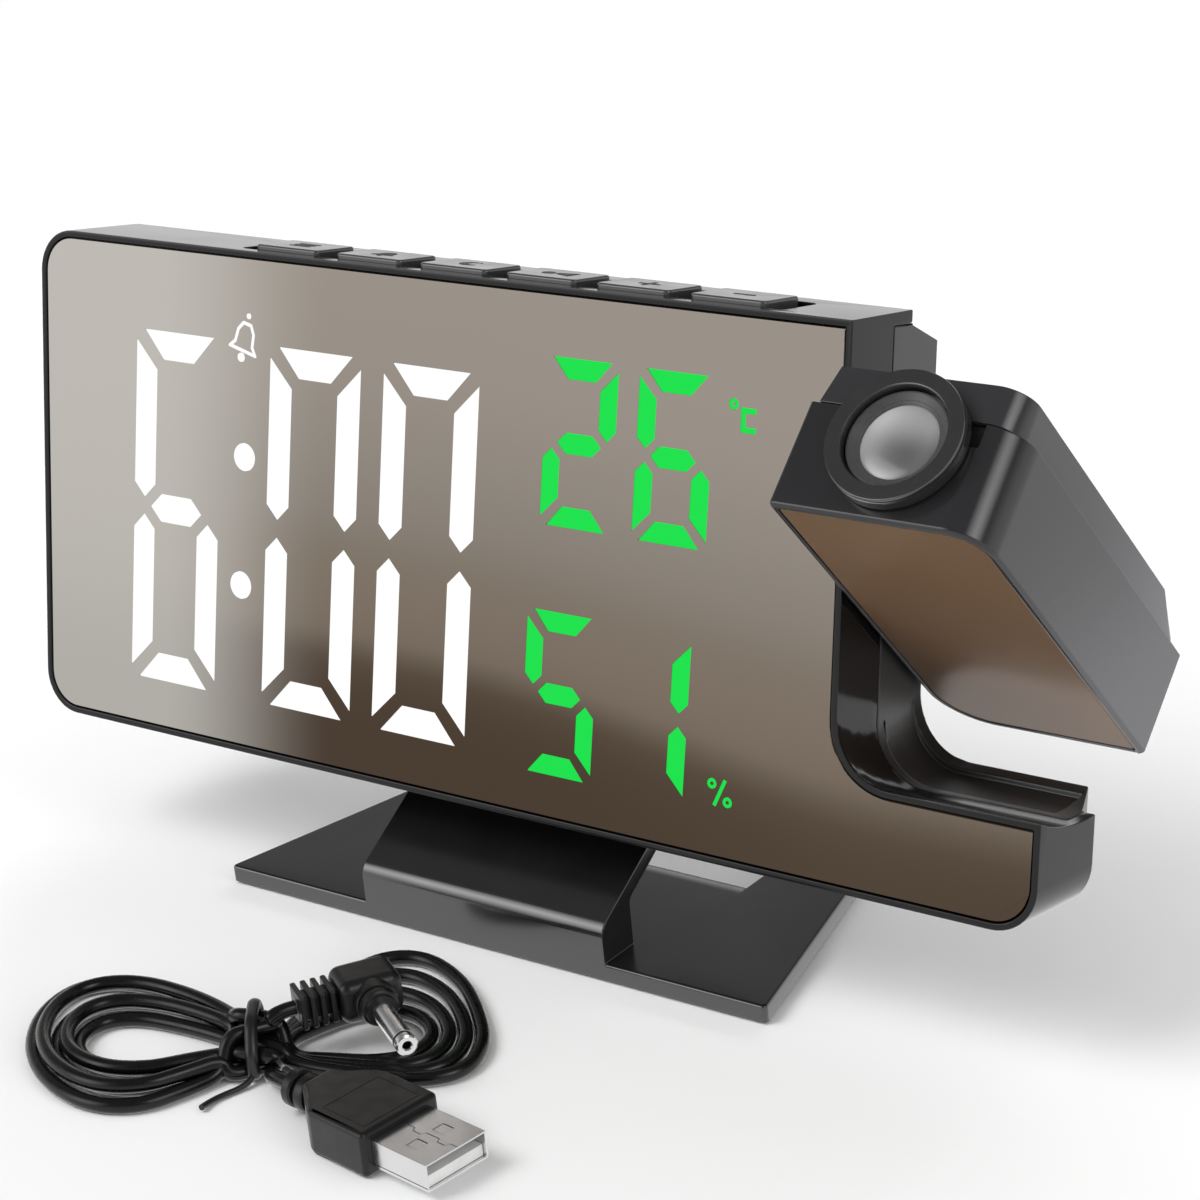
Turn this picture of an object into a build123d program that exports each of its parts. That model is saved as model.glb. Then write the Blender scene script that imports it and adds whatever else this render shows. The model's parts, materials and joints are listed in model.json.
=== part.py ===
"""Projection alarm clock: mirror-fronted body, plug-in stand, pivoting projector pod and its lead.

The body is modelled upright in its own frame: x right from the middle, y back from the front rim,
z up from the underside. The pod is modelled closed, flush with the body. Both are then placed on
the stand, whose frame has y back from the plate's front edge and z up from the plate's top.
"""
import os
from math import cos, hypot, radians, sin, sqrt, tan

from build123d import *

# ---------------------------------------------------------------- driving dimensions, mm and degrees
BODY_W = 205.0            # body width
BODY_H = 88.0             # body height
BODY_D = 25.2             # body depth, rim and rear hump
RIM_D = 17.4              # depth of the front rim
CORNER_R = 7.5            # outer corners of the rim
FRAME_WALL = 2.0          # rim wall
BEZEL = 1.1               # visible rim round the mirror
MIRROR_T = 2.0            # mirror plate
MIRROR_SINK = 0.2         # mirror behind the rim's front edge
FRONT_PLATE_T = 1.5       # moulded plate behind the mirror
SHELL_WALL = 1.8          # rear shell wall
HUMP_TAPER = 21.9         # slope of the hump's outer sides
HUMP_INSET = 0.3          # hump behind the rim's inner face
FIT = 0.1                 # gap between pieces fixed to each other
MOVE_GAP = 0.3            # gap between pieces that move past each other
RUN_FIT = 0.05            # radial running fit

BAY_W = 35.5              # width of the notch that holds the pod
LEDGE_H = 17.7            # height of the ledge's front edge under the pod
BAY_CORNER_R = 9.5        # inner corner of the notch
BAY_SEAM_D = 12.0         # depth of the front rim inside the notch
POCKET_DROP = 0.9         # sunk floor behind the ledge's seam
POCKET_FRONT = 14.3       # front edge of the sunk floor
POCKET_REAR = 22.9        # rear edge of the sunk floor

POD_RISE = 0.6            # pod's closed underside above the ledge
POD_SIDE_GAP = 0.5        # pod beside the notch wall
POD_RIM_D = 17.4          # depth of the pod's front shell
POD_D = 23.7              # pod depth
POD_WALL = 1.8
POD_UPPER_R = 6.5         # upper right corner
POD_LOWER_R = 9.4         # lower left corner
POD_SHARP_R = 0.8         # the other two corners
POD_EDGE = 0.5            # small bevel on the pod's lower front edge
POD_COVER_INSET = 1.5     # rear cover inside the front shell's sides
POD_TILT = 52.4           # pod's stored tilt, top forward
PIVOT_Y = 13.5            # pivot axis behind the front

SHAFT_R = 3.2             # hollow pivot shaft
SHAFT_BORE_R = 2.1
SHAFT_FLANGE_R = 7.5
SHAFT_FLANGE_T = 1.7
BUSH_T = 2.0              # wall and flange of the pivot bush
WASHER_T = 0.6
CLIP_T = 0.8
CLIP_GROOVE = 0.4
CLIP_R = 5.4
WIRE_R = 0.45
WIRE_CIRCLE_R = 1.2       # wires round the shaft's axis

LENS_X_FROM_RIGHT = 17.5  # lens axis from the pod's right side
LENS_Y = 12.3
SKIRT_R = 7.8             # focus ring's sleeve inside the pod
SKIRT_WALL = 0.9
SKIRT_L = 12.0
RING_BAND = 2.9           # raised ring past its sleeve
RING_PROUD = 3.2
RING_REACH = 0.4          # ring's bore and the hole in the pod past the sleeve
BARREL_WALL = 0.55        # fixed optical barrel round the sleeve
BARREL_L = 42.0
CELL_WALL = 0.4           # lens cell round the front lens
CONE_LIP = 0.4            # cone ring over the lens's edge
RECESS_W = 23.4           # shallow seat in the pod's top at the seam
RECESS_Y = 13.6
RECESS_DEPTH = 1.0

BUTTON_COUNT = 6
BUTTON_W = 14.1
BUTTON_PITCH = 17.9
BUTTON_D = 9.8
BUTTON_PROUD = 0.9
BUTTON_TRAVEL = 0.4
BUTTON_FLANGE = 0.8
SLOT_X = -2.0             # middle of the button slot
SLOT_END = 3.2            # slot past the outer buttons
SLOT_FRONT = 2.5
SLOT_D = 10.4
SLOT_SINK = 1.2           # depth of the slot's floor between the buttons
SWITCH_W = 6.0
SWITCH_H = 3.5
PLUNGER_R = 1.6
PLUNGER_H = 0.9
BOARD_T = 1.6
HANGER_W = 3.0             # ribs that carry the button board

DIGIT_SLANT = 2.0         # lean of all digits
DIGITS_DROP = 3.0         # middle of the time digits under the body's middle
TIME_HALF_W = 10.0
TIME_HALF_H = 31.3
TIME_BAR = 4.9
TIME_GAP = 2.0
TIME_X = (-70.1, -38.9, -13.9)
COLON_R = 2.4
COLON_AT = ((-53.9, 11.5), (-54.8, -11.1))
SMALL_HALF_W = 7.0
SMALL_HALF_H = 13.6
SMALL_BAR = 3.3
SMALL_GAP = 1.4
SMALL_UP = 22.3           # upper small digits above the time digits' middle
SMALL_DOWN = -19.0
TEMPERATURE_X = (17.3, 35.4)
HUMIDITY_X = (14.4, 32.5)
BELL_AT = (-53.8, 32.0)
BELL_TILT = 14.0
UNIT_X = 47.3
UNIT_LINE = 0.8
MARK_T = 1.0              # depth of the small marks let into the mirror
UNIT_RING_R = 0.85
UNIT_RING_BORE_R = 0.35
REFLECTOR_D = 6.0
REFLECTOR_X = (-84.5, 53.5)
REFLECTOR_HALF_H = 34.0
LED_W = 2.2
LED_T = 1.2
BOARD_SIDE = 6.0          # display board past the reflector at the sides
BOARD_RISE = 2.0          # and above and below
CONNECTOR_INSET = 4.6     # projector lead's connector from the board's end
CONNECTOR_W = 7.0
BOSS_R = 2.4
BOARD_SCREW_R = 0.9

SCREW_R = 1.2
SCREW_HEAD_R = 2.3
SCREW_BOSS_R = 3.0
SCREW_EDGE = 9.0          # case screws from the outer edges
SCREW_BAY = 6.0           # and from the notch wall
SCREW_RIGHT = 12.5
CELL_X = -30.0
CELL_Z = 44.0
CELL_R = 10.0
CELL_T = 3.2
DOOR_R = 12.4
DOOR_SLOT_W = 2.0
DOOR_SLOT_L = 14.0
HOLDER_R = 15.5
JACK_X = 40.0
JACK_Z = 16.0
JACK_BORE_R = 1.9
JACK_W = 9.0
JACK_L = 12.0
SENSOR_X = -84.0
SENSOR_Z = 40.0
BUZZER_X = 25.0
BUZZER_Z = 58.0
BUZZER_R = 7.0
BUZZER_T = 7.0
SOUND_HOLE_R = 0.8

LEAN = 10.9               # body leans back
BODY_FOOT_Y = 4.46        # body's lower front edge in the stand's frame
BODY_FOOT_Z = 20.53
PLATE_T = 3.0
PLATE_HALF_W = 56.6
PLATE_D = 62.0
PLATE_NARROWING = 13.3    # angle of the plate's sides
PLATE_BEVEL = 0.3
WINDOW_HALF_W = 31.4
WINDOW_FRONT = 34.9
WINDOW_D = 15.0
WINDOW_BEVEL_FRONT = 30.5
WINDOW_BEVEL_DROP = 1.2
BRACKET_HALF_W = 25.4
BRACKET_T = 2.7
BRACKET_FRONT_H = 6.35
BRACKET_SLOPE = 30.8
BRACKET_BLOCK_D = 8.2
BRACKET_BEND_R = 3.0
TONGUE_HALF_W = 22.0
TONGUE_L = 12.0
FOOT_R = 4.0
FOOT_T = 1.0
FOOT_PROUD = 0.4
FOOT_INSET = 8.0

CORD_R = 1.25
HANK_H = 4.6
TIE_AT = (-9.4, -46.0)
TIE_TURN = 37.0
TIE_BUNDLE_W = 13.0
TIE_BUNDLE_H = 8.2
TIE_BUNDLE_L = 9.0
TIE_W = 1.6
DC_ENTRY = (-4.8, -41.0, 4.95)
DC_TURN = 57.3            # heading of the lead into the plug
DC_RELIEF_L = 6.5
DC_BODY_L = 10.4
DC_BODY_HALF = 4.4
DC_BODY_T = 7.4
DC_COLLAR_L = 3.9
DC_BARREL_R = 1.75
DC_BARREL_L = 12.5
USB_ENTRY = (5.1, -53.8, 0.45)
USB_TURN = -8.5
USB_RELIEF_L = 6.0
USB_BODY_L = 19.3
USB_BODY_W = 15.4
USB_BODY_T = 7.6
USB_SHELL_W = 12.0
USB_SHELL_T = 4.5
USB_SHELL_L = 11.8
USB_SHELL_WALL = 0.3

# The outer strands of the hank's two loops, on the floor in front of the stand.
HANK_RIGHT = ((-13.2, -40.9), (-17, -30), (-16, -17), (-11, -7.5), (-3, -6), (7, -10),
              (17, -20), (24.5, -29), (25.5, -36), (20, -42.3), (9, -45.5), (-5.6, -51.1))
HANK_LEFT = ((-8, -57), (-11.5, -66), (-16, -71.3), (-30, -69.3), (-39, -66.7), (-47, -60.5),
             (-52.8, -52), (-54, -44), (-51.5, -38.5), (-43, -35.8), (-24, -35.5))
DC_ROUTE = ((-7.3, -44.9, 4.0), (-5.99, -42.85, 4.95), DC_ENTRY)
USB_ROUTE = ((-4.7, -47.2, -2.15), (-2.2, -50.9, -1.6), (1.14, -53.2, 0.45), USB_ENTRY)

# ---------------------------------------------------------------- places that follow from them
HALF_W = BODY_W / 2
BAY_X = HALF_W - BAY_W
POD_H = BODY_H - LEDGE_H - POD_RISE
POD_X = BAY_X + POD_SIDE_GAP
POD_Z = BODY_H - POD_H
PIVOT_Z = BODY_H - POD_H / 2
BAY_R = hypot(PIVOT_Y, PIVOT_Z - LEDGE_H)
MIRROR_REAR = MIRROR_SINK + MIRROR_T
PLATE_REAR = MIRROR_REAR + FIT + FRONT_PLATE_T
DIGITS_Z = BODY_H / 2 - DIGITS_DROP
REFLECTOR_Y = MIRROR_REAR + FIT
BOARD_Y = REFLECTOR_Y + REFLECTOR_D + FIT
HUMP_START = RIM_D + FIT
INNER_REAR = BODY_D - SHELL_WALL
WALL_UNDER = BODY_H - FRAME_WALL
FLANGE_TOP = WALL_UNDER - MOVE_GAP
FLANGE_T = 1.0
PLUNGER_TOP = FLANGE_TOP - FLANGE_T - BUTTON_TRAVEL - MOVE_GAP
BUTTON_BOARD_Z = PLUNGER_TOP - PLUNGER_H - SWITCH_H - BOARD_T
SWITCH_Y = SLOT_FRONT + SLOT_D / 2
CASE_SCREWS = ((SCREW_EDGE - HALF_W, SCREW_EDGE), (SCREW_EDGE - HALF_W, BODY_H - SCREW_EDGE),
               (BAY_X - SCREW_BAY, BODY_H - SCREW_EDGE + 1), (HALF_W - SCREW_RIGHT, SCREW_EDGE + 0.6))
SLOT_W = (BUTTON_COUNT - 1) * BUTTON_PITCH + BUTTON_W + 2 * SLOT_END
LENS_X = HALF_W - LENS_X_FROM_RIGHT
RING_R = SKIRT_R + RING_BAND
RING_BORE_R = SKIRT_R + RING_REACH
SKIRT_BORE_R = SKIRT_R - SKIRT_WALL
BARREL_R = SKIRT_R + RUN_FIT + BARREL_WALL
LENS_R = SKIRT_BORE_R - CELL_WALL
CONE_R = LENS_R - CONE_LIP
RING_Z = BODY_H + MOVE_GAP
RING_TOP = BODY_H + RING_PROUD
FLOOR_Z = -PLATE_T - FOOT_PROUD
BUSH_X = BAY_X - FRAME_WALL - FIT
WASHER_X = BUSH_X - BUSH_T - MOVE_GAP
CLIP_X = WASHER_X - WASHER_T - MOVE_GAP
SHAFT_END_X = CLIP_X - CLIP_T - 1.0
POD_INNER_X = POD_X + POD_WALL + FIT
CONNECTOR_X = REFLECTOR_X[1] + BOARD_SIDE - CONNECTOR_INSET


# ---------------------------------------------------------------- small helpers
def slab(outline, front, rear, taper=0.0):
    """Solid between two depths with an outline drawn as seen from the front."""
    return Pos(0, front, 0) * extrude(Plane.XZ * outline, rear - front, dir=(0, 1, 0), taper=taper)


def bar(profile, left, right):
    """Solid between two x values with a profile drawn as y, z."""
    return Pos(left, 0, 0) * extrude(Plane.YZ * profile, right - left, dir=(1, 0, 0))


def upright(outline, low, high):
    """Solid between two heights with an outline drawn as seen from above."""
    return Pos(0, 0, low) * extrude(outline, high - low, dir=(0, 0, 1))


def block(x0, x1, y0, y1, z0, z1):
    """Box between six faces."""
    return Pos((x0 + x1) / 2, (y0 + y1) / 2, (z0 + z1) / 2) * Box(x1 - x0, y1 - y0, z1 - z0)


def rod_x(radius, x0, x1, y, z):
    return Pos((x0 + x1) / 2, y, z) * Rot(Y=90) * Cylinder(radius, x1 - x0)


def rod_y(radius, y0, y1, x, z):
    return Pos(x, (y0 + y1) / 2, z) * Rot(X=90) * Cylinder(radius, y1 - y0)


def rod_z(radius, z0, z1, x, y):
    return Pos(x, y, (z0 + z1) / 2) * Cylinder(radius, z1 - z0)


def cone_y(front_radius, rear_radius, y0, y1, x, z):
    """Cone along y, for countersinks."""
    return Pos(x, (y0 + y1) / 2, z) * Rot(X=-90) * Cone(front_radius, rear_radius, y1 - y0)


def domed(radius, low, edge, crown, x, y):
    """Flat-based lens about a vertical axis with a spherical top from its edge to its crown."""
    rise = crown - edge
    ball = (radius * radius + rise * rise) / (2 * rise)
    return rod_z(radius, low, crown, x, y) & Pos(x, y, crown - ball) * Sphere(ball)


def turned(points, x, y):
    """Body of revolution about a vertical axis from (radius, z) points."""
    return Pos(x, y, 0) * revolve(Plane.XZ * Polygon(*points, align=None), Axis.Z)


def corner_at(sketch, x, z):
    """The sketch's corner nearest to a place."""
    return sorted(sketch.vertices(), key=lambda v: hypot(v.X - x, v.Y - z))[:1]


def meet(p, angle_p, q, angle_q):
    """Where two lines cross in a plane, each given by a point and a heading in degrees."""
    ax, ay = cos(radians(angle_p)), sin(radians(angle_p))
    bx, by = cos(radians(angle_q)), sin(radians(angle_q))
    span = ((q[0] - p[0]) * by - (q[1] - p[1]) * bx) / (ax * by - ay * bx)
    return (p[0] + span * ax, p[1] + span * ay)


def step(p, angle, length):
    """A point a length away from another along a heading in degrees."""
    return (p[0] + length * cos(radians(angle)), p[1] + length * sin(radians(angle)))


# ---------------------------------------------------------------- placing
def on_stand(piece):
    """Body frame to stand frame: the body leans back on its lower front edge."""
    return Pos(0, BODY_FOOT_Y, BODY_FOOT_Z) * Rot(X=-LEAN) * piece


def tilted(piece):
    """Pod from closed to its stored tilt about the pivot."""
    return Pos(0, PIVOT_Y, PIVOT_Z) * Rot(X=POD_TILT) * Pos(0, -PIVOT_Y, -PIVOT_Z) * piece


# ---------------------------------------------------------------- body shells
def bay_cutter(grow=0.0, drop=0.0):
    """Space of the notch: a half-round trough about the pivot, open at the top and right."""
    radius = BAY_R + grow + drop
    left = BAY_X - grow
    depth = BODY_W
    side = 2 * radius
    trough = Pos(PIVOT_Y, PIVOT_Z) * Circle(radius)
    trough += Pos(PIVOT_Y, PIVOT_Z + BODY_H / 2) * Rectangle(side, BODY_H)
    space = bar(trough, left, left + depth)
    return fillet(space.faces().sort_by(Axis.X)[0].edges(), BAY_CORNER_R)


def rim_outline(inset=0.0):
    """Rounded rectangle of the whole front, drawn in from the rim's outside."""
    shape = Rectangle(BODY_W - 2 * inset, BODY_H - 2 * inset)
    shape = fillet(shape.vertices(), max(CORNER_R - inset, 0.8))
    return Pos(0, BODY_H / 2) * shape


def front_outline(inset):
    """Front outline with the notch, for flat pieces at the front."""
    corner = BAY_CORNER_R + inset
    left = BAY_X - inset
    low = LEDGE_H - inset
    notch = Rectangle(BODY_W, BODY_H, align=(Align.MIN, Align.MIN))
    notch = fillet(corner_at(notch, 0, 0), corner)
    return rim_outline(inset) - Pos(left, low) * notch


def reflector_window(grow=0.0):
    width = REFLECTOR_X[1] - REFLECTOR_X[0] + 2 * grow
    middle = (REFLECTOR_X[0] + REFLECTOR_X[1]) / 2
    return Pos(middle, DIGITS_Z) * Rectangle(width, 2 * (REFLECTOR_HALF_H + grow))


def board_corners():
    """Screw places of the display board, just outside the reflector."""
    reach = BOARD_SIDE - BOSS_R - 0.2
    xs = (REFLECTOR_X[0] - reach, REFLECTOR_X[1] + reach)
    zs = (DIGITS_Z - REFLECTOR_HALF_H + reach, DIGITS_Z + REFLECTOR_HALF_H - reach)
    return [(x, z) for x in xs for z in zs]


def hanger_xs():
    """Middles of the two ribs that carry the button board."""
    reach = SLOT_W / 2 + 2.5
    return (SLOT_X - reach, SLOT_X + reach)


def tongue_front():
    """Body depth at which the stand's tongue enters the underside."""
    line = meet((0, BRACKET_FRONT_H), BRACKET_SLOPE, (BODY_FOOT_Y, BODY_FOOT_Z), -LEAN)
    return hypot(line[0] - BODY_FOOT_Y, line[1] - BODY_FOOT_Z)


def make_front_frame():
    rim = slab(rim_outline(), 0, RIM_D)
    rim -= bay_cutter()
    rim -= slab(front_outline(BEZEL), -1, MIRROR_REAR + FIT)
    inside = slab(rim_outline(FRAME_WALL), PLATE_REAR, RIM_D + 1)
    rim -= inside - bay_cutter(FRAME_WALL)
    rim -= slab(rim_outline(FRAME_WALL), BAY_SEAM_D, RIM_D + 1)
    rim -= slab(reflector_window(FIT), 0, PLATE_REAR + 1)
    slot = Pos(SLOT_X, SWITCH_Y) * fillet(Rectangle(SLOT_W, SLOT_D).vertices(), 1.5)
    rim -= upright(slot, BODY_H - SLOT_SINK, BODY_H + 1)
    for index in range(BUTTON_COUNT):
        hole = Rectangle(BUTTON_W + 2 * MOVE_GAP, BUTTON_D + 2 * MOVE_GAP)
        rim -= upright(Pos(button_x(index), SWITCH_Y) * hole, WALL_UNDER - 0.01, BODY_H)
    for x, z in board_corners():
        rim += rod_y(BOSS_R, PLATE_REAR - 0.2, BOARD_Y - FIT, x, z) - rod_y(BOARD_SCREW_R, 0, BOARD_Y, x, z)
    hanger_low = BUTTON_BOARD_Z + BOARD_T + FIT
    for x in hanger_xs():
        left, right = x - HANGER_W / 2, x + HANGER_W / 2
        rim += block(left, right, PLATE_REAR - 0.2, BAY_SEAM_D - 0.5, hanger_low, BODY_H - 1)
    for x, z in CASE_SCREWS:
        boss = rod_y(SCREW_BOSS_R, PLATE_REAR - 0.2, BAY_SEAM_D - 0.5, x, z)
        rim += boss - rod_y(SCREW_R, PLATE_REAR + 1, RIM_D, x, z)
    start = tongue_front() - 2 * FIT
    rim -= block(-TONGUE_HALF_W - 0.2, TONGUE_HALF_W + 0.2, start, RIM_D + 1, -1, FRAME_WALL + 1)
    rim -= rod_x(SHAFT_R + BUSH_T + FIT, BAY_X - 3 * FRAME_WALL, BAY_X + 1, PIVOT_Y, PIVOT_Z)
    return rim


def hump(inset, rear):
    """Tapered rear hump drawn in from its outside, from the rim's rear to a given depth."""
    outline = rim_outline(FRAME_WALL + HUMP_INSET + inset)
    return slab(outline, HUMP_START, rear, taper=HUMP_TAPER)


def make_rear_shell():
    lip_inset = FRAME_WALL + FIT
    outside = slab(rim_outline(lip_inset), BAY_SEAM_D + 1.5 * FIT, HUMP_START) + hump(0, BODY_D)
    inside = slab(rim_outline(lip_inset + SHELL_WALL), BAY_SEAM_D - 1, HUMP_START)
    inside += hump(SHELL_WALL, INNER_REAR)
    shell = outside - bay_cutter() - (inside - bay_cutter(SHELL_WALL, drop=POCKET_DROP))
    pocket_end = HALF_W - lip_inset - SHELL_WALL - 1.2
    pocket = bay_cutter(drop=POCKET_DROP) & block(BAY_X, pocket_end, POCKET_FRONT, POCKET_REAR, 0, PIVOT_Z)
    shell -= pocket
    shell += stand_socket()
    shell -= stand_pocket()
    for x, z in CASE_SCREWS:
        shell += rod_y(SCREW_BOSS_R, BAY_SEAM_D - 0.4, INNER_REAR + 0.2, x, z) & outside
        shell -= rod_y(SCREW_R + FIT, 0, BODY_D + 1, x, z)
        shell -= cone_y(SCREW_R + FIT, SCREW_HEAD_R + FIT, BODY_D - 1.4, BODY_D, x, z)
    shell -= rod_y(DOOR_R + MOVE_GAP, INNER_REAR - 1, BODY_D + 1, CELL_X, CELL_Z)
    shell -= rod_y(JACK_BORE_R, INNER_REAR - 1, BODY_D + 1, JACK_X, JACK_Z)
    for row in range(3):
        for column in range(3):
            x = BUZZER_X + 4 * (column - 1)
            z = BUZZER_Z + 4 * (row - 1)
            shell -= rod_y(SOUND_HOLE_R, INNER_REAR - 1, BODY_D + 1, x, z)
    for row in range(4):
        z = SENSOR_Z + 3 * (row - 1.5)
        shell -= block(SENSOR_X - 5, SENSOR_X + 5, INNER_REAR - 1, BODY_D + 1, z - 0.6, z + 0.6)
    shell -= rod_x(SHAFT_R + BUSH_T + FIT, BAY_X - 3 * FRAME_WALL, BAY_X + 1, PIVOT_Y, PIVOT_Z)
    return shell


def stand_socket():
    """Walled socket over the slot in the underside, which grips the stand's tongue."""
    wall = 1.5
    start = tongue_front()
    half = TONGUE_HALF_W + FIT + wall
    top = TONGUE_L + FIT + wall
    return block(-half, half, start - FIT - wall, start + BRACKET_T + FIT + wall, FRAME_WALL + FIT, top)


def stand_pocket():
    start = tongue_front()
    half = TONGUE_HALF_W + FIT
    return block(-half, half, start - FIT, start + BRACKET_T + FIT, -1, TONGUE_L + FIT)


# ---------------------------------------------------------------- display
def segment_outlines(half_w, half_h, bar_w, gap):
    """The seven mitred bars of a digit, named a to g, as corner lists about the digit's middle."""
    tip = 0.8 * gap
    side = half_w - gap
    inner = half_w - bar_w
    neck = side - bar_w + 0.4
    high = half_h - gap
    mid = bar_w / 2
    a = [(-side, half_h), (side, half_h), (neck, half_h - bar_w), (-neck, half_h - bar_w)]
    b = [(half_w, high), (half_w, tip + mid), (half_w - mid, tip), (inner, tip + mid), (inner, high - bar_w)]
    g = [(-half_w + mid + tip, 0), (-half_w + bar_w + tip, mid), (half_w - bar_w - tip, mid),
         (half_w - mid - tip, 0), (half_w - bar_w - tip, -mid), (-half_w + bar_w + tip, -mid)]
    flip_x = [(-x, z) for x, z in b]
    flip_z = [(x, -z) for x, z in b]
    flip_both = [(-x, -z) for x, z in b]
    d = [(x, -z) for x, z in a]
    return {"a": a, "b": b, "c": flip_z, "d": d, "e": flip_both, "f": flip_x, "g": g}


LIT = {"0": "abcdef", "1": "bc", "2": "abged", "5": "afgcd", "6": "afgecd"}


def slanted(points, x, z):
    lean = tan(radians(DIGIT_SLANT))
    return [(x + u + v * lean, z + v) for u, v in points]


def digit(name, x, z, half_w, half_h, bar_w, gap, grow=0.0):
    """Sketch of one lit digit, its bars grown outwards for the windows round them."""
    bars = segment_outlines(half_w + grow, half_h + grow, bar_w + 2 * grow, gap - 2 * grow)
    faces = [Polygon(*slanted(bars[key], x, z), align=None) for key in LIT[name]]
    return Sketch() + faces


def time_digits(grow=0.0):
    sketch = Sketch()
    for name, x in zip("600", TIME_X):
        sketch += digit(name, x, DIGITS_Z, TIME_HALF_W, TIME_HALF_H, TIME_BAR, TIME_GAP, grow)
    return sketch


def small_digits(names, xs, up, grow=0.0):
    sketch = Sketch()
    for name, x in zip(names, xs):
        sketch += digit(name, x, DIGITS_Z + up, SMALL_HALF_W, SMALL_HALF_H, SMALL_BAR, SMALL_GAP, grow)
    return sketch


def colon(grow=0.0):
    return Sketch() + [Pos(x, DIGITS_Z + z) * Circle(COLON_R + grow) for x, z in COLON_AT]


def bell(grow=0.0):
    """Small outline bell with its striker and a dot at the crown."""
    outer = Polyline((-3.0, -2.2), (-2.0, -1.0), (-1.8, 1.2), (-0.9, 2.6), (0.9, 2.6), (1.8, 1.2),
                     (2.0, -1.0), (3.0, -2.2), (-3.0, -2.2))
    shape = make_face(outer)
    ring = offset(shape, 0.25 + grow) - offset(shape, -0.3 - grow)
    striker = Pos(0.0, -3.4) * (Circle(0.8 + grow))
    crown = Pos(0.0, 4.0) * Circle(0.5 + grow)
    return Pos(BELL_AT[0], DIGITS_Z + BELL_AT[1]) * Rot(Z=-BELL_TILT) * (ring + striker + crown)


def small_ring(x, z, grow):
    return Pos(x, z) * (Circle(UNIT_RING_R + grow) - Circle(UNIT_RING_BORE_R - grow))


def degree_unit(grow=0.0):
    """Small ring and an open square mark beside the temperature."""
    x = UNIT_X
    z = DIGITS_Z + SMALL_UP + 7.6
    line = UNIT_LINE / 2 + grow
    spine = Pos(x + 0.9, z) * Rectangle(2 * line, 3.8 + 2 * grow)
    cap = Rectangle(2.4 + 2 * grow, 2 * line)
    caps = [Pos(x + 2.0, z + side * (1.9 - UNIT_LINE / 2)) * cap for side in (-1, 1)]
    return small_ring(x - 0.9, z + 2.3, grow) + spine + caps


def percent_unit(grow=0.0):
    """Two small rings either side of a stroke, beside the humidity."""
    x = UNIT_X - 1.2
    z = DIGITS_Z + SMALL_DOWN - 10.3
    stroke = Pos(x, z) * Rot(Z=-24) * Rectangle(0.6 + 2 * grow, 4.8 + 2 * grow)
    return stroke + small_ring(x - 1.5, z + 1.3, grow) + small_ring(x + 1.5, z - 1.3, grow)


def digit_windows(grow):
    """Clear windows through the whole mirror."""
    sketch = time_digits(grow) + colon(grow)
    sketch += small_digits("26", TEMPERATURE_X, SMALL_UP, grow)
    return sketch + small_digits("51", HUMIDITY_X, SMALL_DOWN, grow)


def light_guide(sketch):
    return slab(sketch, MIRROR_SINK, MIRROR_REAR)


def inlaid_mark(sketch):
    """Small mark let into the mirror's face."""
    return slab(sketch, MIRROR_SINK, MIRROR_SINK + MARK_T)


def make_mirror():
    plate = slab(front_outline(BEZEL + FIT), MIRROR_SINK, MIRROR_REAR)
    plate -= slab(digit_windows(FIT / 2), -1, MIRROR_REAR + 1)
    marks = bell(FIT / 2) + degree_unit(FIT / 2) + percent_unit(FIT / 2)
    return plate - slab(marks, -1, MIRROR_SINK + MARK_T)


def make_reflector():
    plate = slab(reflector_window(), REFLECTOR_Y, REFLECTOR_Y + REFLECTOR_D)
    boxes = time_digits(FIT) + small_digits("26", TEMPERATURE_X, SMALL_UP, FIT)
    boxes += small_digits("51", HUMIDITY_X, SMALL_DOWN, FIT) + colon(FIT)
    boxes += Pos(BELL_AT[0], DIGITS_Z + BELL_AT[1]) * Circle(2.5)
    return plate - slab(boxes, 0, REFLECTOR_Y + REFLECTOR_D + 1)


def make_display_board():
    board = slab(reflector_window(), BOARD_Y, BOARD_Y + BOARD_T)
    left, right = REFLECTOR_X
    low, high = DIGITS_Z - REFLECTOR_HALF_H, DIGITS_Z + REFLECTOR_HALF_H
    board += block(left - BOARD_SIDE, right + BOARD_SIDE, BOARD_Y, BOARD_Y + BOARD_T,
                   low - BOARD_RISE, high + BOARD_RISE)
    for x, z in board_corners():
        board -= rod_y(BOARD_SCREW_R + 0.2, 0, BOARD_Y + BOARD_T + 1, x, z)
    return board


def make_board_screws():
    screws = []
    for x, z in board_corners():
        head = rod_y(1.9, BOARD_Y + BOARD_T + 0.05, BOARD_Y + BOARD_T + 1.2, x, z)
        screws.append(head + rod_y(BOARD_SCREW_R - 0.05, PLATE_REAR + 1, BOARD_Y + BOARD_T + 0.1, x, z))
    return screws


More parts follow.
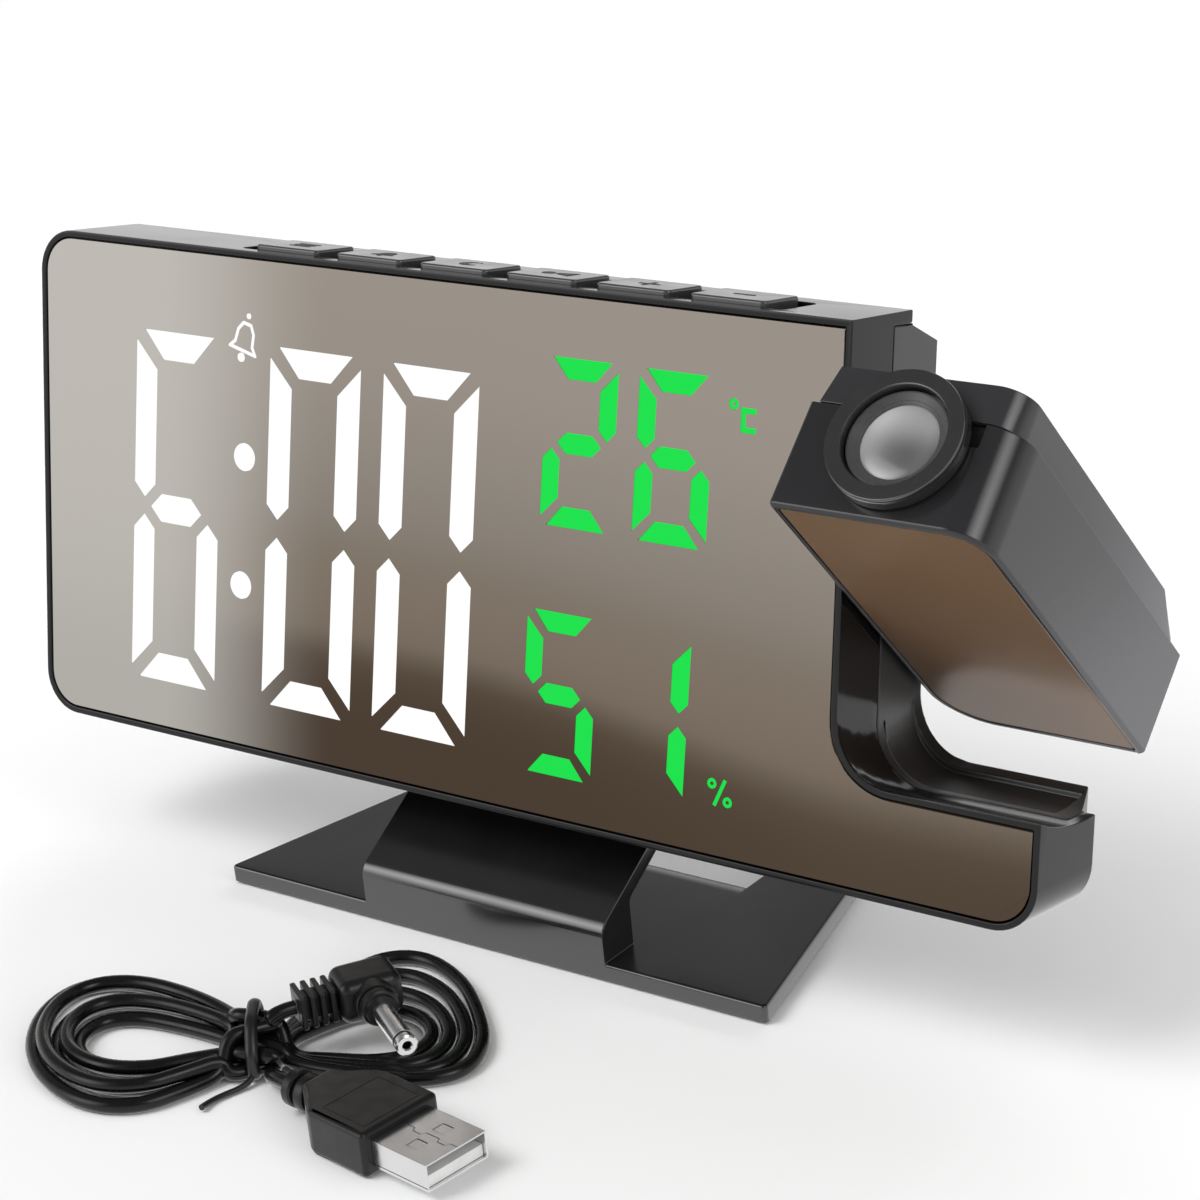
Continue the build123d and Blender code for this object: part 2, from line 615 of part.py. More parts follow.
def make_leds():
    """One small lamp in the middle of each bar's light box."""
    lamps = []
    rows = [("600", TIME_X, 0.0, TIME_HALF_W, TIME_HALF_H, TIME_BAR, TIME_GAP),
            ("26", TEMPERATURE_X, SMALL_UP, SMALL_HALF_W, SMALL_HALF_H, SMALL_BAR, SMALL_GAP),
            ("51", HUMIDITY_X, SMALL_DOWN, SMALL_HALF_W, SMALL_HALF_H, SMALL_BAR, SMALL_GAP)]
    for names, xs, up, half_w, half_h, bar_w, gap in rows:
        for name, x in zip(names, xs):
            for key in LIT[name]:
                bars = segment_outlines(half_w, half_h, bar_w, gap)
                middle = Polygon(*slanted(bars[key], x, DIGITS_Z + up), align=None).center()
                rear = BOARD_Y - 0.05
                lamps.append(block(middle.X - LED_W / 2, middle.X + LED_W / 2, rear - LED_T, rear,
                                   middle.Y - LED_W / 2, middle.Y + LED_W / 2))
    return lamps


# ---------------------------------------------------------------- buttons
def button_x(index):
    return SLOT_X + BUTTON_PITCH * (index - (BUTTON_COUNT - 1) / 2)


def make_button(index):
    """Cap over the slot, with a narrower foot whose side flanges stop it under the top wall."""
    x = button_x(index)
    cap_low = BODY_H - SLOT_SINK
    cap = Pos(x, SWITCH_Y) * fillet(Rectangle(BUTTON_W, BUTTON_D).vertices(), 1.0)
    cap = upright(cap, cap_low, BODY_H + BUTTON_PROUD)
    cap = fillet(cap.faces().sort_by(Axis.Z)[-1].edges(), 0.4)
    front = PLATE_REAR + MOVE_GAP
    rear = BAY_SEAM_D - MOVE_GAP
    half = BUTTON_W / 2
    foot = block(x - half, x + half, front, rear, FLANGE_TOP - FLANGE_T, cap_low)
    reach = half + BUTTON_FLANGE
    return cap + foot + block(x - reach, x + reach, front, rear, FLANGE_TOP - FLANGE_T, FLANGE_TOP)


def make_tact_switches():
    switches = []
    base = BUTTON_BOARD_Z + BOARD_T + 0.02
    for index in range(BUTTON_COUNT):
        x = button_x(index)
        case = block(x - SWITCH_W / 2, x + SWITCH_W / 2, SWITCH_Y - SWITCH_W / 2, SWITCH_Y + SWITCH_W / 2,
                     base, base + SWITCH_H - 0.02)
        switches.append(case + rod_z(PLUNGER_R, base, PLUNGER_TOP, x, SWITCH_Y))
    return switches


def make_button_board():
    left, right = hanger_xs()
    return block(left - HANGER_W / 2, right + HANGER_W / 2, PLATE_REAR + FIT, BAY_SEAM_D - 0.5,
                 BUTTON_BOARD_Z, BUTTON_BOARD_Z + BOARD_T)


# ---------------------------------------------------------------- parts inside the rear shell
def make_case_screws():
    screws = []
    for x, z in CASE_SCREWS:
        shank = rod_y(SCREW_R - 0.05, PLATE_REAR + 1.5, BODY_D - 0.5, x, z)
        head = cone_y(SCREW_R, SCREW_HEAD_R, BODY_D - 1.3, BODY_D - 0.1, x, z)
        slot_z = block(x - 0.35, x + 0.35, BODY_D - 0.7, BODY_D, z - 1.4, z + 1.4)
        slot_x = block(x - 1.4, x + 1.4, BODY_D - 0.7, BODY_D, z - 0.35, z + 0.35)
        screws.append(shank + head - slot_z - slot_x)
    return screws


def make_cell_holder():
    rear = INNER_REAR - FIT
    front = rear - CELL_T - 4.0
    cup = rod_y(HOLDER_R, front, rear, CELL_X, CELL_Z)
    cup -= rod_y(CELL_R + 0.3, front + 1.4, rear + 1, CELL_X, CELL_Z)
    return cup - rod_y(HOLDER_R - 1.5, rear - 1.9, rear + 1, CELL_X, CELL_Z)


def make_coin_cell():
    front = INNER_REAR - FIT - CELL_T - 4.0 + 1.4 + 0.05
    cell = rod_y(CELL_R, front, front + CELL_T, CELL_X, CELL_Z)
    return cell - (rod_y(CELL_R + 1, front - 1, front + 0.4, CELL_X, CELL_Z)
                   - rod_y(CELL_R - 0.8, front - 1, front + 1, CELL_X, CELL_Z))


def make_battery_door():
    """Round door with a coin slot, two bayonet lugs and a hub over the cell."""
    door = rod_y(DOOR_R, INNER_REAR, BODY_D, CELL_X, CELL_Z)
    door += rod_y(CELL_R - 0.7, INNER_REAR - 1.6, INNER_REAR + 0.2, CELL_X, CELL_Z)
    lug = block(-HOLDER_R + 2.1, HOLDER_R - 2.1, INNER_REAR - 1.2, INNER_REAR - 0.3, -2.5, 2.5)
    lug &= rod_y(HOLDER_R - 1.9, INNER_REAR - 2, INNER_REAR, 0, 0)
    door += Pos(CELL_X, 0, CELL_Z) * lug
    door += rod_y(DOOR_R - 0.6, INNER_REAR - 1.2, INNER_REAR + 0.2, CELL_X, CELL_Z)
    return door - block(CELL_X - DOOR_SLOT_L / 2, CELL_X + DOOR_SLOT_L / 2, BODY_D - 1.2, BODY_D + 1,
                        CELL_Z - DOOR_SLOT_W / 2, CELL_Z + DOOR_SLOT_W / 2)


def make_dc_jack():
    rear = INNER_REAR - FIT
    half = JACK_W / 2
    case = block(JACK_X - half, JACK_X + half, rear - JACK_L, rear, JACK_Z - half, JACK_Z + half)
    case -= rod_y(JACK_BORE_R, rear - JACK_L + 1.2, rear + 1, JACK_X, JACK_Z)
    return case + rod_y(0.55, rear - JACK_L + 1, rear - 1.5, JACK_X, JACK_Z)


def make_climate_sensor():
    rear = INNER_REAR - FIT
    return block(SENSOR_X - 6, SENSOR_X + 6, rear - 4, rear, SENSOR_Z - 8, SENSOR_Z + 8)


def make_buzzer():
    front = BOARD_Y + BOARD_T + 0.05
    return rod_y(BUZZER_R, front, front + BUZZER_T, BUZZER_X, BUZZER_Z) - rod_y(
        1.0, front + 3, front + BUZZER_T + 1, BUZZER_X, BUZZER_Z)


# ---------------------------------------------------------------- pivot
def ring_x(outer, inner, x0, x1):
    return rod_x(outer, x0, x1, PIVOT_Y, PIVOT_Z) - rod_x(inner, x0 - 1, x1 + 1, PIVOT_Y, PIVOT_Z)


def make_pivot_bush():
    sleeve = ring_x(SHAFT_R + BUSH_T, SHAFT_R + RUN_FIT, BUSH_X - 0.5, BAY_X)
    return sleeve + ring_x(SHAFT_FLANGE_R, SHAFT_R + RUN_FIT, BUSH_X - BUSH_T, BUSH_X)


def make_pivot_shaft():
    shaft = ring_x(SHAFT_R, SHAFT_BORE_R, SHAFT_END_X, POD_INNER_X + 0.2)
    flange = ring_x(SHAFT_FLANGE_R, SHAFT_BORE_R, POD_INNER_X, POD_INNER_X + SHAFT_FLANGE_T)
    shaft += flange - block(BAY_X, HALF_W, POD_RIM_D - FIT, POD_D, 0, BODY_H)
    return shaft - ring_x(SHAFT_R + 1, SHAFT_R - CLIP_GROOVE, CLIP_X - CLIP_T - FIT, CLIP_X + FIT)


def make_shaft_clip():
    clip = ring_x(CLIP_R, SHAFT_R - CLIP_GROOVE + RUN_FIT, CLIP_X - CLIP_T, CLIP_X)
    mouth = block(CLIP_X - CLIP_T - 1, CLIP_X + 1, PIVOT_Y - 2, PIVOT_Y + 2, PIVOT_Z - CLIP_R - 1, PIVOT_Z)
    return clip - mouth


def make_lead_connector():
    return block(CONNECTOR_X - CONNECTOR_W, CONNECTOR_X, BOARD_Y + BOARD_T + 0.05, PIVOT_Y + 4,
                 PIVOT_Z - 4, PIVOT_Z + 4)


def make_projector_lead():
    wires = []
    for index in range(3):
        angle = radians(90 + 120 * index)
        y = PIVOT_Y + WIRE_CIRCLE_R * cos(angle)
        z = PIVOT_Z + WIRE_CIRCLE_R * sin(angle)
        wires.append(rod_x(WIRE_R, CONNECTOR_X, POD_X + POD_WALL, y, z))
    return wires


# ---------------------------------------------------------------- pod
def pod_outline(inset=0.0):
    left = POD_X + inset
    right = HALF_W - inset
    low = POD_Z + inset
    high = BODY_H - inset
    shape = Rectangle(right - left, high - low)
    middle = Pos((left + right) / 2, (low + high) / 2)
    shape = middle * shape
    shape = fillet(corner_at(shape, right, high), max(POD_UPPER_R - inset, 0.5))
    shape = fillet(corner_at(shape, left, low), max(POD_LOWER_R - inset, 0.5))
    return fillet(corner_at(shape, left, high) + corner_at(shape, right, low), POD_SHARP_R)


def lens_hole(radius, z0, z1):
    return rod_z(radius, z0, z1, LENS_X, LENS_Y)


def pod_screw_places():
    low = POD_Z + 12.5
    return [(POD_X + 7.5, low), (HALF_W - 7.0, low)]


def make_pod_front():
    shell = slab(pod_outline(), 0, POD_RIM_D)
    low_edges = [e for e in shell.faces().sort_by(Axis.Y)[0].edges() if e.center().Z < POD_Z + 0.5]
    shell = chamfer(low_edges, POD_EDGE)
    shell -= slab(pod_outline(BEZEL), -1, MIRROR_REAR + FIT)
    shell -= slab(pod_outline(BEZEL + POD_WALL), 0, PLATE_REAR)
    shell -= slab(pod_outline(POD_WALL), PLATE_REAR, POD_RIM_D + 1)
    shell -= lens_hole(RING_BORE_R, BODY_H - 2 * POD_WALL, BODY_H + 1)
    shell -= block(LENS_X - RECESS_W / 2, LENS_X + RECESS_W / 2, RECESS_Y, POD_RIM_D + 1,
                   BODY_H - RECESS_DEPTH, BODY_H + 1)
    shell -= rod_x(SHAFT_R + FIT, POD_X - 1, POD_INNER_X + 1, PIVOT_Y, PIVOT_Z)
    for x, z in pod_screw_places():
        boss = rod_y(SCREW_BOSS_R - 0.4, PLATE_REAR - FRONT_PLATE_T + 0.2, POD_RIM_D - 2, x, z)
        boss &= slab(pod_outline(0.5), 0, POD_D)
        shell += boss - rod_y(SCREW_R, PLATE_REAR, POD_D, x, z)
        web_x0, web_x1 = (POD_X + 1, x) if x < LENS_X else (x, HALF_W - 1)
        shell += block(web_x0, web_x1, PLATE_REAR, POD_RIM_D - 5, z - 0.6, z + 0.6) - rod_y(
            SCREW_R, PLATE_REAR, POD_D, x, z)
    return shell


def pod_cover_body(inset):
    """Rear cover's outside, or its inside when drawn in."""
    front = POD_RIM_D + FIT
    rear = POD_D - inset
    low = POD_Z + 2.3 + inset
    left = POD_X + POD_COVER_INSET + inset
    right = HALF_W - POD_COVER_INSET - inset
    high = BODY_H - inset
    profile = Polygon((front, low), (front + 1.4, low), (front + 5.0, low + 5.9), (rear, low + 7.8),
                      (rear, high), (front, high), align=None)
    outline = Rectangle(right - left, high - low)
    outline = Pos((left + right) / 2, (low + high) / 2) * outline
    outline = fillet(corner_at(outline, right, high), max(POD_UPPER_R - POD_COVER_INSET - inset, 0.5))
    outline = fillet(corner_at(outline, left, low), max(POD_LOWER_R - POD_COVER_INSET - inset, 0.5))
    body = bar(profile, left, right) & slab(outline, front - 1, POD_D + 1)
    wedge = Polygon((left - 1, front), (left, front), (left + 1.5, POD_D + 1), (left - 1, POD_D + 1),
                    align=None)
    return body - upright(wedge, 0, BODY_H + 1)


def make_pod_cover():
    front = POD_RIM_D + FIT
    cover = pod_cover_body(0) - (pod_cover_body(POD_WALL) + pod_cover_mouth(POD_WALL, front))
    lip = slab(pod_outline(POD_WALL + FIT), POD_RIM_D - 4, front)
    lip -= slab(pod_outline(POD_WALL + FIT + 1.4), 0, POD_D)
    lip -= block(POD_X, HALF_W, 0, POD_D, BODY_H - 12, BODY_H + 1)
    flange_room = SHAFT_FLANGE_R + 0.5
    lip -= block(POD_X, POD_INNER_X + 6, 0, POD_D, PIVOT_Z - flange_room, PIVOT_Z + flange_room)
    cover += lip
    cover -= lens_hole(RING_BORE_R, BODY_H - 2 * POD_WALL, BODY_H + 1)
    for x, z in pod_screw_places():
        cover += rod_y(SCREW_BOSS_R - 0.4, POD_RIM_D - 1.9, POD_D - 1, x, z) & pod_cover_reach()
        cover -= rod_y(SCREW_R + FIT, 0, POD_D + 1, x, z)
        cover -= rod_y(SCREW_HEAD_R, POD_D - 1.6, POD_D + 1, x, z)
    return cover


def pod_cover_mouth(inset, front):
    """Open front of the cover's inside."""
    return slab(pod_outline(inset + POD_COVER_INSET), front - 1, front + 0.5) & block(
        POD_X, HALF_W, 0, POD_D, POD_Z + 2.3 + inset, BODY_H - inset)


def pod_cover_reach():
    return pod_cover_body(0) + slab(pod_outline(POD_WALL + FIT), 0, POD_RIM_D + 2 * FIT)


def make_pod_screws():
    screws = []
    for x, z in pod_screw_places():
        shank = rod_y(SCREW_R - 0.05, PLATE_REAR + 1.5, POD_D - 1, x, z)
        head = rod_y(SCREW_HEAD_R - FIT, POD_D - 1.55, POD_D - 0.5, x, z)
        slot = block(x - 0.35, x + 0.35, POD_D - 0.9, POD_D, z - 1.4, z + 1.4)
        screws.append(shank + head - slot)
    return screws


def make_pod_mirror():
    return slab(pod_outline(BEZEL + FIT), MIRROR_SINK, MIRROR_REAR)


def make_focus_ring():
    """Raised turning ring with its sleeve down into the barrel."""
    low = BODY_H - SKIRT_L
    seat = RING_Z + 0.35
    bevel = 0.35
    return turned([(SKIRT_BORE_R, low), (SKIRT_R, low), (SKIRT_R, RING_Z), (RING_R - bevel, RING_Z),
                   (RING_R, RING_Z + bevel), (RING_R, RING_TOP - bevel), (RING_R - bevel, RING_TOP),
                   (RING_BORE_R + bevel, RING_TOP), (RING_BORE_R, RING_TOP - bevel), (RING_BORE_R, seat),
                   (SKIRT_BORE_R, seat)], LENS_X, LENS_Y)


def make_lens_cone():
    """Cone ring that holds the front lens."""
    low = BODY_H - 6.0
    rim = SKIRT_BORE_R - MOVE_GAP
    flare = RING_BORE_R - MOVE_GAP
    return turned([(CONE_R, BODY_H + 0.9), (LENS_R + 0.02, BODY_H + 0.5), (LENS_R + 0.02, low), (rim, low),
                   (rim, RING_Z + 0.95), (flare, RING_Z + 0.95), (flare, RING_Z + 1.5),
                   (flare - 0.3, RING_Z + 1.5)], LENS_X, LENS_Y)


def make_projection_lens():
    """Front lens, domed on top."""
    return domed(LENS_R, BODY_H - 5.0, BODY_H + 0.45, BODY_H + 1.5, LENS_X, LENS_Y)


def barrel_bottom():
    return BODY_H - POD_WALL - FIT - BARREL_L


def make_projector_barrel():
    """Fixed barrel: running bore for the focus ring above, light tube below."""
    top = BODY_H - POD_WALL - FIT
    low = barrel_bottom()
    step_z = BODY_H - SKIRT_L - 1.5
    return turned([(SKIRT_R + RUN_FIT, top), (BARREL_R, top), (BARREL_R, low), (SKIRT_R - 0.6, low),
                   (SKIRT_R - 0.6, step_z), (SKIRT_R + RUN_FIT, step_z)], LENS_X, LENS_Y)


def make_lcd_slide():
    z = barrel_bottom() + 19.0
    size = 2 * (SKIRT_R - 0.7) / sqrt(2)
    return Pos(LENS_X, LENS_Y, z) * Box(size, size, 1.2)


def make_condenser():
    """Half lens that gathers the lamp's light."""
    low = barrel_bottom() + 11.0
    return domed(SKIRT_R - 0.7, low, low + 1.2, low + 4.5, LENS_X, LENS_Y)


def make_projector_led():
    low = barrel_bottom() - FIT
    return turned([(0, low), (2.9, low), (2.9, low + 1.0), (2.5, low + 1.0), (2.5, low + 3.2),
                   (1.8, low + 4.6), (0, low + 5.0)], LENS_X, LENS_Y)


def make_projector_board():
    top = barrel_bottom() - FIT - 0.02
    right = HALF_W - POD_COVER_INSET - POD_WALL - FIT
    return block(POD_INNER_X + 2.5, right, PLATE_REAR + FIT, POD_D - POD_WALL - 3 * FIT,
                 top - BOARD_T, top)


# ---------------------------------------------------------------- stand
def bracket_profile():
    """Side view of the bracket: block, slope and the tongue that plugs into the body."""
    vertical = 90 - LEAN
    foot = (0.0, BRACKET_FRONT_H)
    entry = meet(foot, BRACKET_SLOPE, (BODY_FOOT_Y, BODY_FOOT_Z), -LEAN)
    shoulder = meet(foot, BRACKET_SLOPE, (BODY_FOOT_Y, BODY_FOOT_Z - FIT), -LEAN)
    under = step(foot, BRACKET_SLOPE - 90, BRACKET_T)
    rear_line = step(entry, vertical - 90, BRACKET_T)
    block_top = meet(under, BRACKET_SLOPE, (BRACKET_BLOCK_D, 0), 90)
    rear_corner = meet(under, BRACKET_SLOPE, rear_line, vertical)
    rear_shoulder = meet(rear_line, vertical, (BODY_FOOT_Y, BODY_FOOT_Z - FIT), -LEAN)
    points = [(0, -PLATE_T), foot, shoulder, rear_shoulder, rear_corner, block_top,
              (BRACKET_BLOCK_D, -PLATE_T)]
    shape = Polygon(*points, align=None)
    shape = fillet(corner_at(shape, *foot), BRACKET_BEND_R)
    return fillet(corner_at(shape, *block_top), BRACKET_BEND_R / 2)


def tongue_profile():
    vertical = 90 - LEAN
    entry = meet((0, BRACKET_FRONT_H), BRACKET_SLOPE, (BODY_FOOT_Y, BODY_FOOT_Z), -LEAN)
    rear = step(entry, vertical - 90, BRACKET_T)
    below = 1.0
    return Polygon(step(entry, vertical, -below), step(entry, vertical, TONGUE_L),
                   step(rear, vertical, TONGUE_L), step(rear, vertical, -below), align=None)


def foot_places():
    back_half = PLATE_HALF_W - PLATE_D * tan(radians(PLATE_NARROWING))
    rear_y = PLATE_D - FOOT_INSET + 1.5
    return [(side * (half - FOOT_INSET - 1.5), y)
            for half, y in ((PLATE_HALF_W, FOOT_INSET), (back_half + 1.5, rear_y)) for side in (-1, 1)]


def make_stand():
    back_half = PLATE_HALF_W - PLATE_D * tan(radians(PLATE_NARROWING))
    outline = Polygon((-PLATE_HALF_W, 0), (PLATE_HALF_W, 0), (back_half, PLATE_D), (-back_half, PLATE_D),
                      align=None)
    outline = fillet(outline.vertices(), 0.8)
    plate = upright(outline, -PLATE_T, 0)
    plate = chamfer(plate.faces().sort_by(Axis.Z)[-1].edges(), PLATE_BEVEL)
    plate -= block(-WINDOW_HALF_W, WINDOW_HALF_W, WINDOW_FRONT, WINDOW_FRONT + WINDOW_D, -PLATE_T - 1, 1)
    past = WINDOW_FRONT + 0.1
    bevel = Polygon((WINDOW_BEVEL_FRONT, 0), (past, -WINDOW_BEVEL_DROP), (past, 1), (WINDOW_BEVEL_FRONT, 1),
                    align=None)
    plate -= bar(bevel, -WINDOW_HALF_W, WINDOW_HALF_W)
    stand = plate + bar(bracket_profile(), -BRACKET_HALF_W, BRACKET_HALF_W)
    stand += bar(tongue_profile(), -TONGUE_HALF_W, TONGUE_HALF_W)
    for x, y in foot_places():
        stand -= rod_z(FOOT_R + FIT, FLOOR_Z - 1, FLOOR_Z + FOOT_T + 0.05, x, y)
    return stand


def make_foot_pads():
    return [rod_z(FOOT_R, FLOOR_Z, FLOOR_Z + FOOT_T, x, y) for x, y in foot_places()]


# ---------------------------------------------------------------- lead and plugs
def make_hank():
    """Outer shape of the tied hank: two flat loops and the gathered bundle between them."""
    outline = Polygon(*HANK_RIGHT, *HANK_LEFT, align=None)
    outline = fillet(outline.vertices(), 2.5)
    loops = upright(outline, FLOOR_Z, FLOOR_Z + HANK_H)
    waist = Pos(0, TIE_BUNDLE_H / 2) * RectangleRounded(TIE_BUNDLE_W, TIE_BUNDLE_H, 2.2)
    bundle = bar(waist, -TIE_BUNDLE_L / 2, TIE_BUNDLE_L / 2)
    return loops + Pos(TIE_AT[0], TIE_AT[1], FLOOR_Z) * Rot(Z=TIE_TURN) * bundle


def make_tie():
    """Wire tie: a flat band round the bundle with its free end turned down beside it."""
    gap = 0.05
    thick = 1.1
    width = TIE_BUNDLE_W + 2 * gap
    height = TIE_BUNDLE_H + gap
    inner = Pos(0, height / 2) * RectangleRounded(width, height, 2.3)
    inner += Pos(0, height / 4) * Rectangle(width, height)
    outer = Pos(0, (height + thick) / 2) * RectangleRounded(width + 2 * thick, height + thick, 3.2)
    band = bar(outer - inner, -TIE_W / 2, TIE_W / 2)
    band = Pos(TIE_AT[0], TIE_AT[1], FLOOR_Z) * Rot(Z=TIE_TURN) * band
    return band - make_hank()


def plug_frame(entry, turn):
    return Pos(*entry) * Rot(Z=turn)


def relief_sleeve(length, radius, rings):
    """Strain relief along x with raised ribs."""
    sleeve = Pos(length / 2, 0, 0) * Rot(Y=90) * Cylinder(radius * 0.72, length)
    pitch = length / rings
    for index in range(rings):
        x = pitch * (index + 0.5)
        sleeve += Pos(x, 0, 0) * Rot(Y=90) * Cylinder(radius, pitch * 0.55)
    return sleeve


def make_dc_plug():
    relief = relief_sleeve(DC_RELIEF_L, 3.2, 3)
    middle = DC_RELIEF_L + DC_BODY_L / 2
    head = Pos(middle, 0, 0) * Box(DC_BODY_L, 2 * DC_BODY_HALF, DC_BODY_T)
    head = fillet(head.edges(), 2.0)
    axis_x = DC_RELIEF_L + DC_BODY_L - DC_BODY_HALF - 0.6
    low = -DC_BODY_HALF
    collar = Pos(axis_x, low - DC_COLLAR_L / 2 + 1, 0) * Rot(X=90) * Cone(3.5, 2.9, DC_COLLAR_L + 2)
    plug = relief + head + collar
    return plug_frame(DC_ENTRY, DC_TURN) * plug


def make_dc_barrel():
    axis_x = DC_RELIEF_L + DC_BODY_L - DC_BODY_HALF - 0.6
    start = -DC_BODY_HALF - DC_COLLAR_L - 0.02
    tube = Pos(axis_x, start - DC_BARREL_L / 2, 0) * Rot(X=90) * Cylinder(DC_BARREL_R, DC_BARREL_L)
    bore = Pos(axis_x, start - DC_BARREL_L + 4, 0) * Rot(X=90) * Cylinder(0.675, 8.2)
    return plug_frame(DC_ENTRY, DC_TURN) * (tube - bore)


def make_usb_body():
    relief = relief_sleeve(USB_RELIEF_L, 3.1, 3)
    shoulder = 7.0
    half = USB_BODY_W / 2
    start = USB_RELIEF_L
    end = USB_RELIEF_L + USB_BODY_L
    outline = Polygon((start, -3), (start + shoulder, -half), (end, -half), (end, half),
                      (start + shoulder, half), (start, 3), align=None)
    grip = upright(outline, -USB_BODY_T / 2, USB_BODY_T / 2)
    grip = fillet(grip.edges().filter_by(Axis.Z), 1.0)
    return plug_frame(USB_ENTRY, USB_TURN) * (relief + grip)


def make_usb_shell():
    """Folded metal sleeve with its two square latch windows."""
    start = USB_RELIEF_L + USB_BODY_L + 0.02
    middle = start + USB_SHELL_L / 2
    inner_w = USB_SHELL_W - 2 * USB_SHELL_WALL
    inner_t = USB_SHELL_T - 2 * USB_SHELL_WALL
    shell = Pos(middle, 0, 0) * Box(USB_SHELL_L, USB_SHELL_W, USB_SHELL_T)
    shell -= Pos(middle, 0, 0) * Box(USB_SHELL_L + 1, inner_w, inner_t)
    for side in (-1, 1):
        shell -= Pos(middle + 0.4, side * 2.6, 0) * Box(2.3, 2.3, 2 * USB_SHELL_T)
    return plug_frame(USB_ENTRY, USB_TURN) * shell


def make_usb_tongue():
    start = USB_RELIEF_L + USB_BODY_L + 0.02
    inner_w = USB_SHELL_W - 2 * USB_SHELL_WALL - 0.1
    inner_t = USB_SHELL_T - 2 * USB_SHELL_WALL - 0.1
    length = USB_SHELL_L - 0.6
    tongue_t = 1.9
    tongue = Pos(start + length / 2, 0, -inner_t / 2 + tongue_t / 2) * Box(length, inner_w, tongue_t)
    return plug_frame(USB_ENTRY, USB_TURN) * tongue


def make_lead(route, name):
    """Cord along straight runs joined by tangent arcs."""
    points = [Vector(*p) for p in route]
    radii = []
    for before, here, after in zip(points, points[1:], points[2:]):
        turn = (here - before).get_angle(after - here)
        shorter = min((here - before).length, (after - here).length)
        radii.append(0.45 * shorter / tan(radians(turn / 2)))
    print(name, "bend radii", [round(r, 1) for r in radii])
    path = FilletPolyline(*points, radius=radii)
    start = Plane(origin=path @ 0, z_dir=path % 0)
    return sweep(start * Circle(CORD_R), path=path)


# ---------------------------------------------------------------- all nodes
BUTTON_NAMES = ("menu_button", "alarm_button", "snooze_button", "projector_button", "plus_button",
                "minus_button")


def temperature_pieces():
    digits = light_guide(small_digits("26", TEMPERATURE_X, SMALL_UP))
    return [digits, inlaid_mark(degree_unit())]


def humidity_pieces():
    digits = light_guide(small_digits("51", HUMIDITY_X, SMALL_DOWN))
    return [digits, inlaid_mark(percent_unit())]


def body_nodes():
    nodes = {
        "front_frame": make_front_frame(),
        "rear_shell": make_rear_shell(),
        "mirror_panel": make_mirror(),
        "time_segments": light_guide(time_digits()),
        "colon_dots": light_guide(colon()),
        "alarm_icon": inlaid_mark(bell()),
        "temperature_segments": temperature_pieces(),
        "humidity_segments": humidity_pieces(),
        "segment_reflector": make_reflector(),
        "display_board": make_display_board(),
        "board_screws": make_board_screws(),
        "display_leds": make_leds(),
        "button_board": make_button_board(),
        "tact_switches": make_tact_switches(),
        "case_screws": make_case_screws(),
        "cell_holder": make_cell_holder(),
        "coin_cell": make_coin_cell(),
        "battery_door": make_battery_door(),
        "dc_jack": make_dc_jack(),
        "climate_sensor": make_climate_sensor(),
        "buzzer": make_buzzer(),
        "pivot_bush": make_pivot_bush(),
        "friction_washer": ring_x(SHAFT_FLANGE_R - 0.5, SHAFT_R + MOVE_GAP, WASHER_X - WASHER_T, WASHER_X),
        "lead_connector": make_lead_connector(),
        "projector_lead": make_projector_lead(),
    }
    for index, name in enumerate(BUTTON_NAMES):
        nodes[name] = make_button(index)
    return nodes


def pod_nodes():
    return {
        "pod_front_shell": make_pod_front(),
        "pod_rear_cover": make_pod_cover(),
        "pod_mirror": make_pod_mirror(),
        "pod_screws": make_pod_screws(),
        "pivot_shaft": make_pivot_shaft(),
        "shaft_clip": make_shaft_clip(),
        "focus_ring": make_focus_ring(),
        "lens_cone": make_lens_cone(),
        "projection_lens": make_projection_lens(),
        "projector_barrel": make_projector_barrel(),
        "lcd_slide": make_lcd_slide(),
        "condenser_lens": make_condenser(),
        "projector_led": make_projector_led(),
        "projector_board": make_projector_board(),
    }


def stand_nodes():
    return {"stand": make_stand(), "foot_pads": make_foot_pads()}


def cord_nodes():
    return {
        "cable_hank": make_hank(),
        "cable_lead_dc": make_lead(DC_ROUTE, "cable_lead_dc"),
        "cable_lead_usb": make_lead(USB_ROUTE, "cable_lead_usb"),
        "cable_tie": make_tie(),
        "dc_plug_body": make_dc_plug(),
        "dc_plug_barrel": make_dc_barrel(),
        "usb_plug_body": make_usb_body(),
        "usb_plug_shell": make_usb_shell(),
        "usb_plug_tongue": make_usb_tongue(),
    }


def as_compound(piece):
    """One compound of separate solids, whatever a maker returned."""
    pieces = piece if isinstance(piece, list) else [piece]
    return Compound(children=[solid for item in pieces for solid in item.solids()])


def place_all():
    """Nodes in the final frame: origin on the floor under the middle of the clock's box."""
    standing = {name: on_stand(as_compound(piece)) for name, piece in body_nodes().items()}
    standing.update({name: on_stand(tilted(as_compound(piece))) for name, piece in pod_nodes().items()})
    standing.update({name: as_compound(piece) for name, piece in stand_nodes().items()})
    boxes = [piece.bounding_box() for piece in standing.values()]
    middle_y = (min(b.min.Y for b in boxes) + max(b.max.Y for b in boxes)) / 2
    standing.update({name: as_compound(piece) for name, piece in cord_nodes().items()})
    print("stand frame to final frame: y", round(-middle_y, 4), "z", round(-FLOOR_Z, 4))
    return {name: Pos(0, -middle_y, -FLOOR_Z) * piece for name, piece in standing.items()}


os.makedirs("parts", exist_ok=True)
for node_name, node in place_all().items():
    export_step(node, f"parts/{node_name}.step")
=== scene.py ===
"""Looks of a projection alarm clock: mirror-fronted body, tilting projector pod, stand and lead."""
import json
from math import atan, cos, pi, radians, sin

